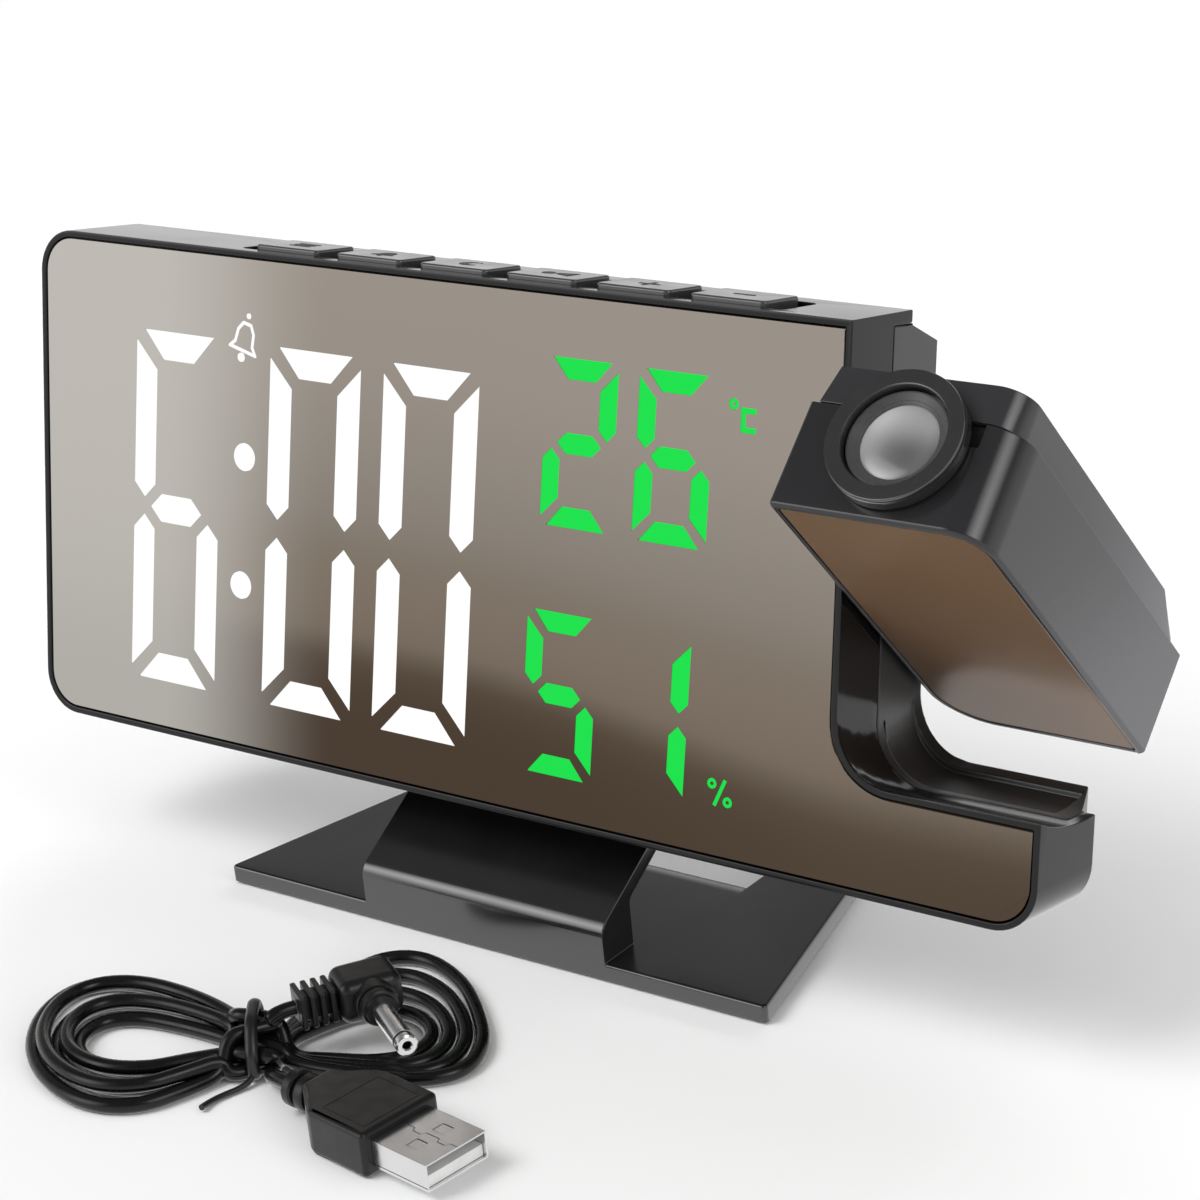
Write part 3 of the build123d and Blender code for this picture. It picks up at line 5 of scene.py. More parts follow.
import bpy
from bpy.props import FloatProperty, FloatVectorProperty, IntProperty, PointerProperty
from mathutils import Matrix, Vector

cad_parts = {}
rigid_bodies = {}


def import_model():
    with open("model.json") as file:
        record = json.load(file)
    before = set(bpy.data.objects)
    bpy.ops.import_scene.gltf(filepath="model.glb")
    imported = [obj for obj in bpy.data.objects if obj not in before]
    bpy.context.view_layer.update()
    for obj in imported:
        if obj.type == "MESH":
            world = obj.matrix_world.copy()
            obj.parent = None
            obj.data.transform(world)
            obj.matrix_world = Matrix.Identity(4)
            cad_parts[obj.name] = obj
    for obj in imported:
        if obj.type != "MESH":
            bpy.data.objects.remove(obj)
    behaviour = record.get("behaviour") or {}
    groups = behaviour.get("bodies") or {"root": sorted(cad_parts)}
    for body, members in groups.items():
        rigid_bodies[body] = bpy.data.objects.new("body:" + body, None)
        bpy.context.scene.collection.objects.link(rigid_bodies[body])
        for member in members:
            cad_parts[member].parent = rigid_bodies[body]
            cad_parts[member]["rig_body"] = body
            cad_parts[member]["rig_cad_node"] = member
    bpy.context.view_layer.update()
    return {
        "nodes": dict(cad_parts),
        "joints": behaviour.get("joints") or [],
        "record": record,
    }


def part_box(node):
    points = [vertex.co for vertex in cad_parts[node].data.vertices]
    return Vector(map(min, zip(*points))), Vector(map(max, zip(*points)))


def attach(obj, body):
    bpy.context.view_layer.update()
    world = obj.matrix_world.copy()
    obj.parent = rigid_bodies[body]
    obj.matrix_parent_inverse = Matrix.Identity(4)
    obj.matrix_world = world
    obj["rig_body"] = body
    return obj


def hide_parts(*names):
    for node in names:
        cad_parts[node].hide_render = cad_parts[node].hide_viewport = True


bl_info = {
    "name": "Projection Alarm Clock",
    "version": (1, 0, 0),
    "blender": (4, 5, 0),
    "location": "View3D > Sidebar > Clock",
    "description": "Builds the visible pieces of a mirror-fronted projection alarm clock",
    "category": "Object",
}

bpy.ops.object.select_all(action="SELECT")
bpy.ops.object.delete()
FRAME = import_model()
NODES = FRAME["nodes"]
JOINTS = {joint["name"]: joint for joint in FRAME["joints"]}
SLOTS = {part["node"]: part["material_slot"] for part in FRAME["record"]["subparts"]}

# ---- places taken from the frame
MM = 0.001
RIGHT = Vector((1, 0, 0))
BACK = Vector(JOINTS["battery_door_turn"]["axis"])  # depth of the leaning body
UP = -Vector(JOINTS["menu_press"]["axis"])  # height of the leaning body
LENS_AXIS = Vector(JOINTS["focus_turn"]["axis"])
LENS_AT = Vector(JOINTS["focus_turn"]["pos_m"])
POD_FRONT = RIGHT.cross(LENS_AXIS)  # out of the pod's mirror face
WINDOWS_END = 0.062  # right of the mirror's last window
NOTCH_START = 0.066  # left of the notch in the rear case
BACK_MARGIN = 3.5 * MM  # plain border of the rear case's flat back

# ---- tolerances
ONE_CORNER = 0.001 * MM  # corners nearer than this become one
CAD_CORNER = 0.002 * MM  # the same in a CAD node's copy
SLIVER = 0.004 * MM  # faces thinner than this are dissolved
FACE_DEPTH = 0.05 * MM  # corners this near to an end lie on its face
RIM_DEPTH = 0.02 * MM  # edges this near to a mirror's front are on it
CREASE = radians(30)  # edges bent by more than this are rounded
RIM_COSINE = 0.8  # the most between the faces beside a mirror's outline

# ---- the view
CAMERA_AT = (0.308708, -0.382999, 0.244808)
CAMERA_AIM = Vector((-0.57283, 0.73387, -0.36513))
CAMERA_UP = Vector((-0.14864, 0.34507, 0.92673))
CAMERA_LENS = 94.5945

# ---- the lead's route, millimetres
STAND_TO_FRAME = Vector((0, -27.9368, 3.4))
# Heights of the cord's middle: on the floor, sunk between turns, in the second and the top layer.
ON_FLOOR, BETWEEN, SECOND, TOP = -2.15, -0.1, 0.45, 2.95
TIE_AT = Vector((-9.4, -46.0, 0))
TIE_TURN = 37.0
DC_ENTRY = (-4.8, -41.0, 4.95)
DC_TURN = 57.3
DC_ROUTE = ((-7.3, -44.9, 4.0), (-5.99, -42.85, 4.95), DC_ENTRY)
USB_ENTRY = (5.1, -53.8, 0.45)
USB_TURN = -8.5
USB_ROUTE = ((-4.7, -47.2, ON_FLOOR), (-2.2, -50.9, -1.6), (1.14, -53.2, 0.45), USB_ENTRY)
# Widest and narrowest turn of each loop of the hank, from its lower strand round to its upper one,
# along and across the bundle from the tie.
RIGHT_OUTER = (
    (6, -4.2), (15.5, -8.8), (25, -12.6), (33, -11.4), (36.2, -3.2), (34.8, 8), (31.8, 19), (25.2, 28.6),
    (16.5, 28.6), (9.8, 18.5), (4.8, 8.4))
RIGHT_INNER = (
    (5, -2.2), (11.5, -3.6), (18, -5.6), (24, -5.2), (27.6, -1), (27.4, 4.2), (24, 9.4), (18.5, 11.2),
    (12.8, 9.6), (8.2, 6.6), (4.6, 3.6))
LEFT_OUTER = (
    (-5, -5), (-10.5, -9.2), (-17.5, -13.2), (-25.8, -11.1), (-33.4, -2.4), (-37.6, 8.5), (-37.4, 20),
    (-32.5, 28), (-23.5, 28.5), (-12.5, 20.5), (-4, 10.5))
LEFT_INNER = (
    (-4.5, -2), (-10, -1.8), (-16.5, -2.6), (-23.5, -0.8), (-28.8, 4), (-30, 10), (-27, 15.2), (-21, 15.6),
    (-14, 12), (-8, 8), (-3.5, 4.5))
# How far each turn lies from its loop's widest towards its narrowest, in the order of the cord.
LEFT_SHARES = (0, 0.25, 0.5, 0.75, 1)
RIGHT_SHARES = (1, 0.66, 0.33, 0)
LEFT_HEIGHTS = (ON_FLOOR, BETWEEN, ON_FLOOR, BETWEEN, ON_FLOOR)
# Place across the bundle and height of each pass under the tie, leftwards and rightwards.
LOW_PASSES = ((-1.2, TOP), (-4.5, ON_FLOOR), (-1.5, ON_FLOOR), (1.5, ON_FLOOR), (4.5, ON_FLOOR))
HIGH_PASSES = ((3.0, TOP), (4.5, SECOND), (1.5, SECOND), (-1.5, SECOND), (-4.5, SECOND))
PASS_REACH, PASS_SLANT = 4, 1.5


# ---- settings
class StageSettings(bpy.types.PropertyGroup):
    """Floor, lamps and sky"""
    floor_radius: FloatProperty(
        name="Floor radius", description="Half the floor's width", default=4.0, unit="LENGTH")
    floor_colour: FloatVectorProperty(
        name="Floor", description="Colour of the floor", subtype="COLOR", default=(0.86, 0.86, 0.86))
    sky_level: FloatProperty(name="Sky", description="Strength of the sky's own light", default=0.62)
    key_power: FloatProperty(
        name="Key lamp", description="Power of the key lamp", default=2.6, unit="POWER")


class CaseSettings(bpy.types.PropertyGroup):
    """Moulded case, pod and stand"""
    gloss_colour: FloatVectorProperty(
        name="Gloss plastic", description="Colour of the case, pod and stand", subtype="COLOR",
        default=(0.006, 0.006, 0.0065))
    satin_colour: FloatVectorProperty(
        name="Satin plastic", description="Colour of the back", subtype="COLOR",
        default=(0.013, 0.013, 0.0135))
    edge_round: FloatProperty(
        name="Edge rounding", description="Rounding of moulded edges", default=0.22 * MM, unit="LENGTH")


class MirrorSettings(bpy.types.PropertyGroup):
    """Tinted mirrors and their painted reflections"""
    # Tones of the front mirror, its own tint mixed with painted reflection; the pod's mirror starts from the
    # lower one.
    pale_painted_reflection: FloatVectorProperty(
        name="Pale tint", description="Left end of the mirror", subtype="COLOR",
        default=(0.50, 0.478, 0.44))
    upper_painted_reflection: FloatVectorProperty(
        name="Upper tint", description="Upper part of the mirror", subtype="COLOR",
        default=(0.33, 0.292, 0.252))
    middle_painted_reflection: FloatVectorProperty(
        name="Middle tint", description="Lower third of the mirror", subtype="COLOR",
        default=(0.15, 0.122, 0.094))
    lower_painted_reflection: FloatVectorProperty(
        name="Lower tint", description="Lower edge of the mirror", subtype="COLOR",
        default=(0.075, 0.052, 0.036))
    edge_width: FloatProperty(
        name="Edge", description="Ground edge round each mirror", default=0.25 * MM, unit="LENGTH")


class DisplaySettings(bpy.types.PropertyGroup):
    """Lit digits"""
    white_light: FloatVectorProperty(
        name="White light", description="Light of the time digits", subtype="COLOR",
        default=(1.0, 1.0, 1.0))
    green_light: FloatVectorProperty(
        name="Green light", description="Light of the small digits", subtype="COLOR",
        default=(0.006, 0.745, 0.069))
    level: FloatProperty(name="Level", description="Strength of the digits' light", default=1.0)


class ButtonSettings(bpy.types.PropertyGroup):
    """Top buttons"""
    cap_colour: FloatVectorProperty(
        name="Caps", description="Colour of the button caps", subtype="COLOR", default=(0.04, 0.04, 0.041))
    mark_height: FloatProperty(
        name="Mark height", description="Height of the marks on the caps", default=0.05 * MM,
        unit="LENGTH")


class PodSettings(bpy.types.PropertyGroup):
    """Focus ring and lens"""
    ring_steps: IntProperty(name="Ring steps", description="Faces round the focus ring", default=128)
    lens_colour: FloatVectorProperty(
        name="Lens", description="Tone of the lens", subtype="COLOR", default=(0.19, 0.19, 0.19))


class LeadSettings(bpy.types.PropertyGroup):
    """Lead and plugs"""
    diameter: FloatProperty(
        name="Cord diameter", description="Outside of the cord", default=2.5 * MM, unit="LENGTH")
    cover_colour: FloatVectorProperty(
        name="Cord cover", description="Colour of the cord", subtype="COLOR", default=(0.003, 0.003, 0.003))
    plug_steps: IntProperty(
        name="Plug steps", description="Faces round each plug's turned parts", default=64)


# ---- selecting and shaping
def only(*pieces):
    """Select these pieces alone, the first one active."""
    bpy.ops.object.select_all(action="DESELECT")
    for piece in pieces:
        piece.select_set(True)
    bpy.context.view_layer.objects.active = pieces[0]


def edit(piece, kind="FACE", test=None):
    """Open a piece in edit mode with the faces, edges or corners that pass a test selected."""
    only(piece)
    groups = {"VERT": piece.data.vertices, "EDGE": piece.data.edges, "FACE": piece.data.polygons}
    bpy.context.tool_settings.mesh_select_mode = [name == kind for name in groups]
    for group in groups.values():
        group.foreach_set("select", [False] * len(group))
    for item in groups[kind]:
        item.select = test is None or test(item)
    bpy.ops.object.mode_set(mode="EDIT")


def edit_all(piece):
    edit(piece)
    bpy.ops.mesh.select_all(action="SELECT")


def leave():
    bpy.ops.object.mode_set(mode="OBJECT")


def clean(piece):
    """Merge doubled corners and turn all faces outwards."""
    edit_all(piece)
    bpy.ops.mesh.remove_doubles(threshold=ONE_CORNER)
    bpy.ops.mesh.normals_make_consistent(inside=False)
    leave()
    return piece


def use_modifier(piece, kind, **values):
    """Add a modifier and apply it."""
    modifier = piece.modifiers.new(kind.lower(), kind)
    for key, value in values.items():
        setattr(modifier, key, value)
    only(piece)
    bpy.ops.object.modifier_apply(modifier=modifier.name)
    return piece


def round_edges(piece, width, segments=2, limit="ANGLE"):
    return use_modifier(piece, "BEVEL", width=width, segments=segments, limit_method=limit,
                        angle_limit=CREASE, use_clamp_overlap=False, miter_outer="MITER_ARC")


def smooth(piece, angle=40):
    """Smooth shading, sharp at edges bent by more than an angle in degrees."""
    only(piece)
    bpy.ops.object.shade_smooth_by_angle(angle=radians(angle))
    return use_modifier(piece, "WEIGHTED_NORMAL", keep_sharp=True, weight=80)


def named(piece, name):
    piece.name = name
    piece.data.name = name
    return piece


def settle(piece, frame=None):
    """Put a piece in its place and take the place into its mesh."""
    if frame is not None:
        piece.matrix_world = frame @ piece.matrix_world
    only(piece)
    bpy.ops.object.transform_apply(location=True, rotation=True, scale=True)
    return piece


def join(name, pieces):
    only(*pieces)
    bpy.ops.object.join()
    return named(bpy.context.view_layer.objects.active, name)


def linked(name, data):
    piece = bpy.data.objects.new(name, data)
    bpy.context.collection.objects.link(piece)
    return piece


def as_mesh(piece):
    only(piece)
    bpy.ops.object.convert(target="MESH")
    return bpy.context.active_object


def axes_frame(origin, x_axis, y_axis, z_axis):
    """Placement with the given axes as its x, y and z."""
    turn = Matrix((x_axis, y_axis, z_axis)).transposed()
    return Matrix.Translation(Vector(origin)) @ turn.to_4x4()


# ---- shapes, sizes in millimetres
def block(name, low, high, rounding, segments=3):
    """A cuboid with rounded edges between two corners."""
    low, high = Vector(low) * MM, Vector(high) * MM
    bpy.ops.mesh.primitive_cube_add(size=1, location=(low + high) / 2, scale=high - low)
    return round_edges(settle(named(bpy.context.active_object, name)), rounding * MM, segments)


def turned(name, profile, steps, frame):
    """Spin a closed profile of (radius, height) corners about the upright axis and place it."""
    bpy.ops.mesh.primitive_circle_add(vertices=len(profile), radius=1)
    piece = named(bpy.context.active_object, name)
    for vertex, (radius, height) in zip(piece.data.vertices, profile):
        vertex.co = (radius * MM, 0, height * MM)
    edit(piece, "VERT")
    bpy.ops.mesh.spin(steps=steps, angle=2 * pi, center=(0, 0, 0), axis=(0, 0, 1))
    leave()
    return settle(clean(piece), frame)


def cut_plate(name, outlines, low, high):
    """A flat plate between two heights, cut to outlines; an outline inside another is a hole."""
    curve = bpy.data.curves.new(name, "CURVE")
    curve.dimensions = "2D"
    curve.fill_mode = "BOTH"
    curve.extrude = (high - low) * MM / 2
    for outline in outlines:
        spline = curve.splines.new("POLY")
        spline.points.add(len(outline) - 1)
        for point, (x, y) in zip(spline.points, outline):
            point.co = (x * MM, y * MM, 0, 1)
        spline.use_cyclic_u = True
    piece = as_mesh(linked(name, curve))
    piece.location.z = (low + high) * MM / 2
    return clean(settle(piece))


def arc(radius, start, end, count, centre=(0, 0)):
    """Points round an arc, angles in degrees."""
    turn = (end - start) / (count - 1)
    angles = [radians(start + turn * index) for index in range(count)]
    return [(centre[0] + radius * cos(a), centre[1] + radius * sin(a)) for a in angles]


def disc(radius, centre=(0, 0), count=24):
    return arc(radius, 0, 360 - 360 / count, count, centre)


def bar(x, y, width, height):
    """Corners of an oblong about its middle."""
    return [(x + side * width / 2, y + end * height / 2)
            for side, end in ((-1, -1), (1, -1), (1, 1), (-1, 1))]


# ---- copies of CAD nodes
def edge_middle(piece, edge):
    first, second = (piece.data.vertices[index].co for index in edge.vertices)
    return (first + second) / 2


def edge_sides(piece):
    """The normals of the faces beside each edge, by the edge's key."""
    sides = {}
    for face in piece.data.polygons:
        for key in face.edge_keys:
            sides.setdefault(key, []).append(face.normal)
    return sides


def extent(corners, direction):
    """Where corners begin and end along a direction."""
    heights = [corner.dot(direction) for corner in corners]
    return min(heights), max(heights)


def end_face(node, direction):
    """The corners of a CAD node's furthest face along a direction, and how far out they lie."""
    corners = [vertex.co for vertex in NODES[node].data.vertices]
    far = extent(corners, direction)[1]
    return [corner for corner in corners if corner.dot(direction) > far - FACE_DEPTH], far


def copy_of(node, name):
    """A loose copy of a CAD node with its corners merged."""
    only(NODES[node])
    bpy.ops.object.duplicate()
    piece = named(bpy.context.active_object, name)
    piece.parent = None
    del piece["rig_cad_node"]
    bpy.ops.mesh.customdata_custom_splitnormals_clear()
    edit_all(piece)
    bpy.ops.mesh.remove_doubles(threshold=CAD_CORNER)
    bpy.ops.mesh.beautify_fill(angle_limit=radians(0.2))
    leave()
    return piece


def stand_for(piece, *nodes):
    """Show a piece in place of CAD nodes, riding on the first one's body."""
    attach(piece, NODES[nodes[0]]["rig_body"])
    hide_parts(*nodes)
    return piece


def add_on(piece, body="clock"):
    """Carry a small piece that stands for no CAD node."""
    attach(piece, body)


def softened(node, name, width, sharp=None):
    """A copy of a CAD node with its edges rounded, except those in a place that stays sharp."""
    piece = copy_of(node, name)
    if sharp:
        sides = edge_sides(piece)
        weights = piece.data.attributes.new("bevel_weight_edge", "FLOAT", "EDGE")
        for edge in piece.data.edges:
            beside = sides.get(edge.key, ())
            creased = len(beside) == 2 and beside[0].dot(beside[1]) < cos(CREASE)
            weights.data[edge.index].value = float(creased and not sharp(edge_middle(piece, edge)))
    round_edges(piece, width, limit="WEIGHT" if sharp else "ANGLE")
    edit_all(piece)
    bpy.ops.mesh.dissolve_degenerate(threshold=SLIVER)
    leave()
    return stand_for(smooth(piece), node)


def ground(node, name, width, normal, windows=None):
    """A copy of a mirror's node, its front outline ground and its windows, by axis, left sharp."""
    piece = copy_of(node, name)
    front = max(vertex.co.dot(normal) for vertex in piece.data.vertices)
    sides = edge_sides(piece)

    def outline(edge):
        beside = sides[edge.key]
        middle = edge_middle(piece, edge)
        inside = windows and all(low < middle[axis] < high for axis, (low, high) in windows.items())
        return (abs(middle.dot(normal) - front) < RIM_DEPTH and len(beside) == 2
                and beside[0].dot(beside[1]) < RIM_COSINE and not inside)

    edit(piece, "EDGE", outline)
    bpy.ops.mesh.bevel(offset=width, segments=1, affect="EDGES", clamp_overlap=False)
    leave()
    return stand_for(smooth(piece, 20), node)


def paint(piece, material):
    piece.data.materials.clear()
    piece.data.materials.append(material)
    return piece


def paint_node(node, material):
    """Give a CAD node its finish."""
    for slot in NODES[node].material_slots:
        slot.material = material


# ---- nodes of a material or the sky
MIX_INPUTS = (0, 6, 7)  # a Mix node's share and two colours
MIX_COLOUR = 2  # and its colour output
WHITE = (1, 1, 1)


def opaque(colour):
    return (*colour, 1)


def shade(colour, factor):
    return tuple(channel * factor for channel in colour)


def tones(colour, *stops):
    """Stops of a ramp in shades of one colour, each a position and a factor."""
    return [(position, shade(colour, factor)) for position, factor in stops]


def set_inputs(node, values):
    for key, value in values.items():
        node.inputs[key.replace("_", " ")].default_value = value
    return node


def add_node(owner, kind, **inputs):
    """A shader node with some of its inputs set."""
    return set_inputs(owner.node_tree.nodes.new(kind), inputs)


def wire(owner, source, target):
    """Feed an input from another node's output, or set it to a number or colour."""
    if isinstance(source, bpy.types.NodeSocket):
        owner.node_tree.links.new(source, target)
    else:
        target.default_value = source


def drive(material, socket, source):
    """Feed an input of the material's own shader."""
    wire(material, source, material.node_tree.nodes["Principled BSDF"].inputs[socket])


def split(owner, place, axis):
    """One coordinate of a place."""
    node = add_node(owner, "ShaderNodeSeparateXYZ")
    wire(owner, place, node.inputs["Vector"])
    return node.outputs[axis]


def object_place(owner):
    return add_node(owner, "ShaderNodeTexCoord").outputs["Object"]


def spread(owner, value, low, high, start=0.0, end=1.0, kind="SMOOTHSTEP"):
    """Take what lies between two values to what lies between two others."""
    node = add_node(owner, "ShaderNodeMapRange", From_Min=low, From_Max=high, To_Min=start, To_Max=end)
    node.interpolation_type = kind
    wire(owner, value, node.inputs["Value"])
    return node.outputs["Result"]


def span(material, axis, low, high):
    """How far along an axis of the object a point lies between two places, from 0 to 1."""
    return spread(material, split(material, object_place(material), axis), low, high)


def computed(owner, operation, *values):
    """Arithmetic on numbers and other nodes' outputs."""
    node = add_node(owner, "ShaderNodeMath")
    node.operation = operation
    for value, socket in zip(values, node.inputs):
        wire(owner, value, socket)
    return node.outputs[0]


def mixed(owner, share, first, second):
    """A blend of two colours or other nodes' colours."""
    node = add_node(owner, "ShaderNodeMix")
    node.data_type = "RGBA"
    for index, source in zip(MIX_INPUTS, (share, first, second)):
        wire(owner, source, node.inputs[index])
    return node.outputs[MIX_COLOUR]


def ramp(owner, factor, stops, kind="B_SPLINE"):
    """Colours along a scale from 0 to 1."""
    node = add_node(owner, "ShaderNodeValToRGB")
    node.color_ramp.interpolation = kind
    elements = node.color_ramp.elements
    while len(elements) < len(stops):
        elements.new(0.5)
    for element, (position, colour) in zip(elements, stops):
        element.position = position
        element.color = opaque(colour)
    wire(owner, factor, node.inputs["Fac"])
    return node.outputs["Color"]


def ray_kinds(owner):
    """Whether a ray comes straight from the eye, and whether by a mirror or glass."""
    rays = add_node(owner, "ShaderNodeLightPath").outputs
    reflected = computed(owner, "MAXIMUM", rays["Is Glossy Ray"], rays["Is Transmission Ray"])
    return rays["Is Camera Ray"], reflected


# ---- finishes
def finish(name, colour, roughness, metallic=0.0, **sockets):
    """A new material with its plain values set on the shader itself."""
    material = bpy.data.materials.new(name)
    material.use_nodes = True
    set_inputs(material.node_tree.nodes["Principled BSDF"],
               {"Base Color": opaque(colour), "Roughness": roughness, "Metallic": metallic, **sockets})
    return material


def speckle(material, scale):
    """Noise over the piece, scale in features a metre."""
    noise = add_node(material, "ShaderNodeTexNoise", Scale=scale, Detail=3.0)
    wire(material, object_place(material), noise.inputs["Vector"])
    return noise.outputs["Fac"]


def grain(material, scale, depth, strength):
    """Fine moulded grain as bump, depth in millimetres."""
    bump = add_node(material, "ShaderNodeBump", Strength=strength, Distance=depth * MM)
    wire(material, speckle(material, scale), bump.inputs["Height"])
    drive(material, "Normal", bump.outputs["Normal"])
    return material


def uneven(material, scale, low, high):
    """Let roughness wander between two values over the piece."""
    noise_low, noise_high = 0.3, 0.7
    wander = spread(material, speckle(material, scale), noise_low, noise_high, low, high, "LINEAR")
    drive(material, "Roughness", wander)
    return material


def mottled(material, scale, first, second):
    """Let the colour wander between two tones."""
    drive(material, "Base Color", mixed(material, speckle(material, scale), opaque(first), opaque(second)))


def surface(name, colour, roughness, mottling, wander, bumps, **sockets):
    """A finish with mottled colour, uneven roughness and fine grain.

    Each of the three starts with its features a metre. Then come the darkest and palest factor of the
    colour, the lowest and highest roughness, and the grain's depth in millimetres and strength.
    """
    material = finish(name, colour, roughness, **sockets)
    scale, darkest, palest = mottling
    mottled(material, scale, shade(colour, darkest), shade(colour, palest))
    uneven(material, *wander)
    return grain(material, *bumps)


def gloss_plastic(colour):
    """Polished black moulding with faint flow marks."""
    return surface("gloss_black_plastic", colour, 0.12, (40, 0.85, 1.2), (90, 0.1, 0.14),
                   (900, 0.002, 0.15), Specular_IOR_Level=0.3)


def satin_plastic(colour):
    """Fine sparked texture of moulded black plastic."""
    return surface("satin_black_plastic", colour, 0.36, (60, 0.85, 1.15), (220, 0.34, 0.39),
                   (3200, 0.012, 0.4), Specular_IOR_Level=0.8)


def stand_plastic(colour):
    """Smooth black moulding of the stand."""
    return surface("stand_black_plastic", colour, 0.2, (50, 0.85, 1.2), (120, 0.17, 0.23),
                   (1500, 0.002, 0.15), Specular_IOR_Level=1.0, IOR=1.56)


def button_plastic(colour):
    """Smooth caps, a shade paler than the case."""
    return surface("button_black_plastic", colour, 0.2, (60, 0.9, 1.1), (200, 0.17, 0.24),
                   (1500, 0.002, 0.15), Specular_IOR_Level=0.85)


def rubber(name, colour, roughness, index=1.5):
    """Rubber or soft moulding with a fine tooth."""
    return surface(name, colour, roughness, (120, 0.8, 1.25), (400, roughness - 0.07, roughness + 0.07),
                   (2600, 0.012, 0.4), IOR=index)


def bright_metal(name, colour, roughness):
    """Plated metal with fine drawn marks."""
    return surface(name, colour, roughness, (150, 0.95, 1.04), (600, roughness - 0.04, roughness + 0.05),
                   (2500, 0.001, 0.1), metallic=1.0)


def ring_plastic():
    """Turned look of the focus ring: deep black with a fine sheen."""
    material = finish("focus_ring_plastic", (0.02, 0.02, 0.021), 0.16, Specular_IOR_Level=1.0)
    mottled(material, 30, (0.018, 0.018, 0.019), (0.022, 0.022, 0.023))
    uneven(material, 150, 0.13, 0.19)
    return grain(material, 1200, 0.001, 0.1)


def pod_plastic_painted_light(name, colour, factor):
    """The pod's polished plastic with painted light: paler towards its foot, paler still by the factor,
    standing in for reflections in its sides.
    """
    material = finish(name, colour, 0.14, Specular_IOR_Level=0.5)
    low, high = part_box("pod_front_shell")
    # Painted light: the base colour grows far paler from the top down to the foot.
    drive(material, "Base Color", ramp(material, span(material, "Z", low.z, high.z), tones(
        colour, (0.0, 19 * factor), (0.5, 6 * factor), (1.0, 2.4 * factor))))
    uneven(material, 90, 0.12, 0.16)
    return grain(material, 900, 0.002, 0.15)


def circuit_board():
    """Green lacquered board with copper showing as paler tracks."""
    material = finish("green_circuit_board", (0.01, 0.1, 0.03), 0.35)
    tracks = add_node(material, "ShaderNodeTexVoronoi", Scale=450.0)
    tracks.distance = "MANHATTAN"
    wire(material, object_place(material), tracks.inputs["Vector"])
    drive(material, "Base Color", ramp(material, tracks.outputs["Distance"], (
        (0.0, (0.03, 0.2, 0.06)), (0.3, (0.012, 0.11, 0.035)), (1.0, (0.006, 0.07, 0.02)))))
    return grain(material, 2000, 0.02, 0.4)


def slide_glass():
    material = finish("smoked_glass", (0.05, 0.06, 0.07), 0.05, Transmission_Weight=0.8, IOR=1.5)
    return uneven(material, 300, 0.03, 0.08)


def lens_painted_light(tone):
    """Frosted coated lens with painted light: paler towards its rim and top, deeper at its middle, standing
    in for its reflections.
    """
    material = finish("coated_lens", tone, 0.16, IOR=1.6, Coat_Weight=1.0, Coat_Roughness=0.03)
    low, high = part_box("projection_lens")
    # Painted light across the lens and up it, blended by noise.
    side = ramp(material, span(material, "X", low.x, high.x), tones(
        tone, (0.0, 3.2), (0.3, 0.9), (0.62, 0.25), (0.85, 0.4), (1.0, 1.2)))
    upper = ramp(material, span(material, "Z", low.z + 2 * MM, high.z), tones(
        tone, (0.0, 3.0), (0.3, 0.7), (0.6, 0.5), (0.8, 1.5), (1.0, 3.6)))
    even = computed(material, "MULTIPLY_ADD", speckle(material, 60), 0.2, 0.4)
    drive(material, "Base Color", mixed(material, even, side, upper))
    return uneven(material, 200, 0.12, 0.2)


def mirror_painted_reflection(settings):
    """Half-silvered front, its own tint mixed with painted reflections: pale at its left and deep brown at
    its lower right.
    """
    material = finish("tinted_mirror_glass", settings.upper_painted_reflection, 0.03, metallic=1.0)
    low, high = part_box("mirror_panel")
    height = span(material, "Z", low.z, high.z)
    # Painted reflection at the left end: pale, a little darker at the foot.
    pale = ramp(material, height, tones(settings.pale_painted_reflection, (0.0, 0.85), (0.3, 1), (1.0, 1.04)))
    rightward = span(material, "X", low.x + 90 * MM, high.x - 25 * MM)
    lifted = computed(material, "MULTIPLY_ADD", rightward, 0.1, height)
    # Painted reflection over the rest: deep brown low and towards the right, greige higher up.
    deep = ramp(material, lifted, [
        *tones(settings.lower_painted_reflection, (0.0, 0.9), (0.13, 1)),
        *tones(settings.middle_painted_reflection, (0.2, 1.35), (0.38, 1.35)),
        *tones(settings.upper_painted_reflection, (0.54, 0.74), (0.8, 0.9), (1.0, 1))])
    # The pale painted reflection fades into the deep one from left to right.
    across = span(material, "X", low.x + 26 * MM, low.x + 68 * MM)
    drive(material, "Base Color", mixed(material, across, pale, deep))
    return uneven(material, 30, 0.02, 0.05)


def pod_mirror(settings):
    """The pod's mirror, its own tint with a painted reflection, warm deep brown all over, and only a faint
    real reflection.
    """
    material = finish("pod_glass_painted_reflection", settings.lower_painted_reflection, 0.16, metallic=0.14,
                      Specular_IOR_Level=0.15)
    low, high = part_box("pod_mirror")
    # Painted reflection: the front mirror's lower tone made warmer.
    warm = [tint * lift for tint, lift in zip(settings.lower_painted_reflection, (2.1, 1.85, 1.6))]
    drive(material, "Base Color", ramp(material, span(material, "Z", low.z, high.z), tones(
        warm, (0.0, 1.3), (0.3, 1.35), (0.55, 1.25), (0.8, 1.3), (1.0, 1.35))))
    return uneven(material, 60, 0.18, 0.24)


def lit_guide(name, light, level):
    """Milky light guide with its lamp on."""
    material = finish(name, shade(light, 0.03), 0.3, Emission_Strength=level, Specular_IOR_Level=0.1)
    mottled(material, 300, shade(light, 0.02), shade(light, 0.04))
    evenly = ramp(material, speckle(material, 500), tones(light, (0.0, 0.96), (1.0, 1)))
    drive(material, "Emission Color", evenly)
    return material


FINISHES = {}


def plain(slot):
    return FINISHES[slot]


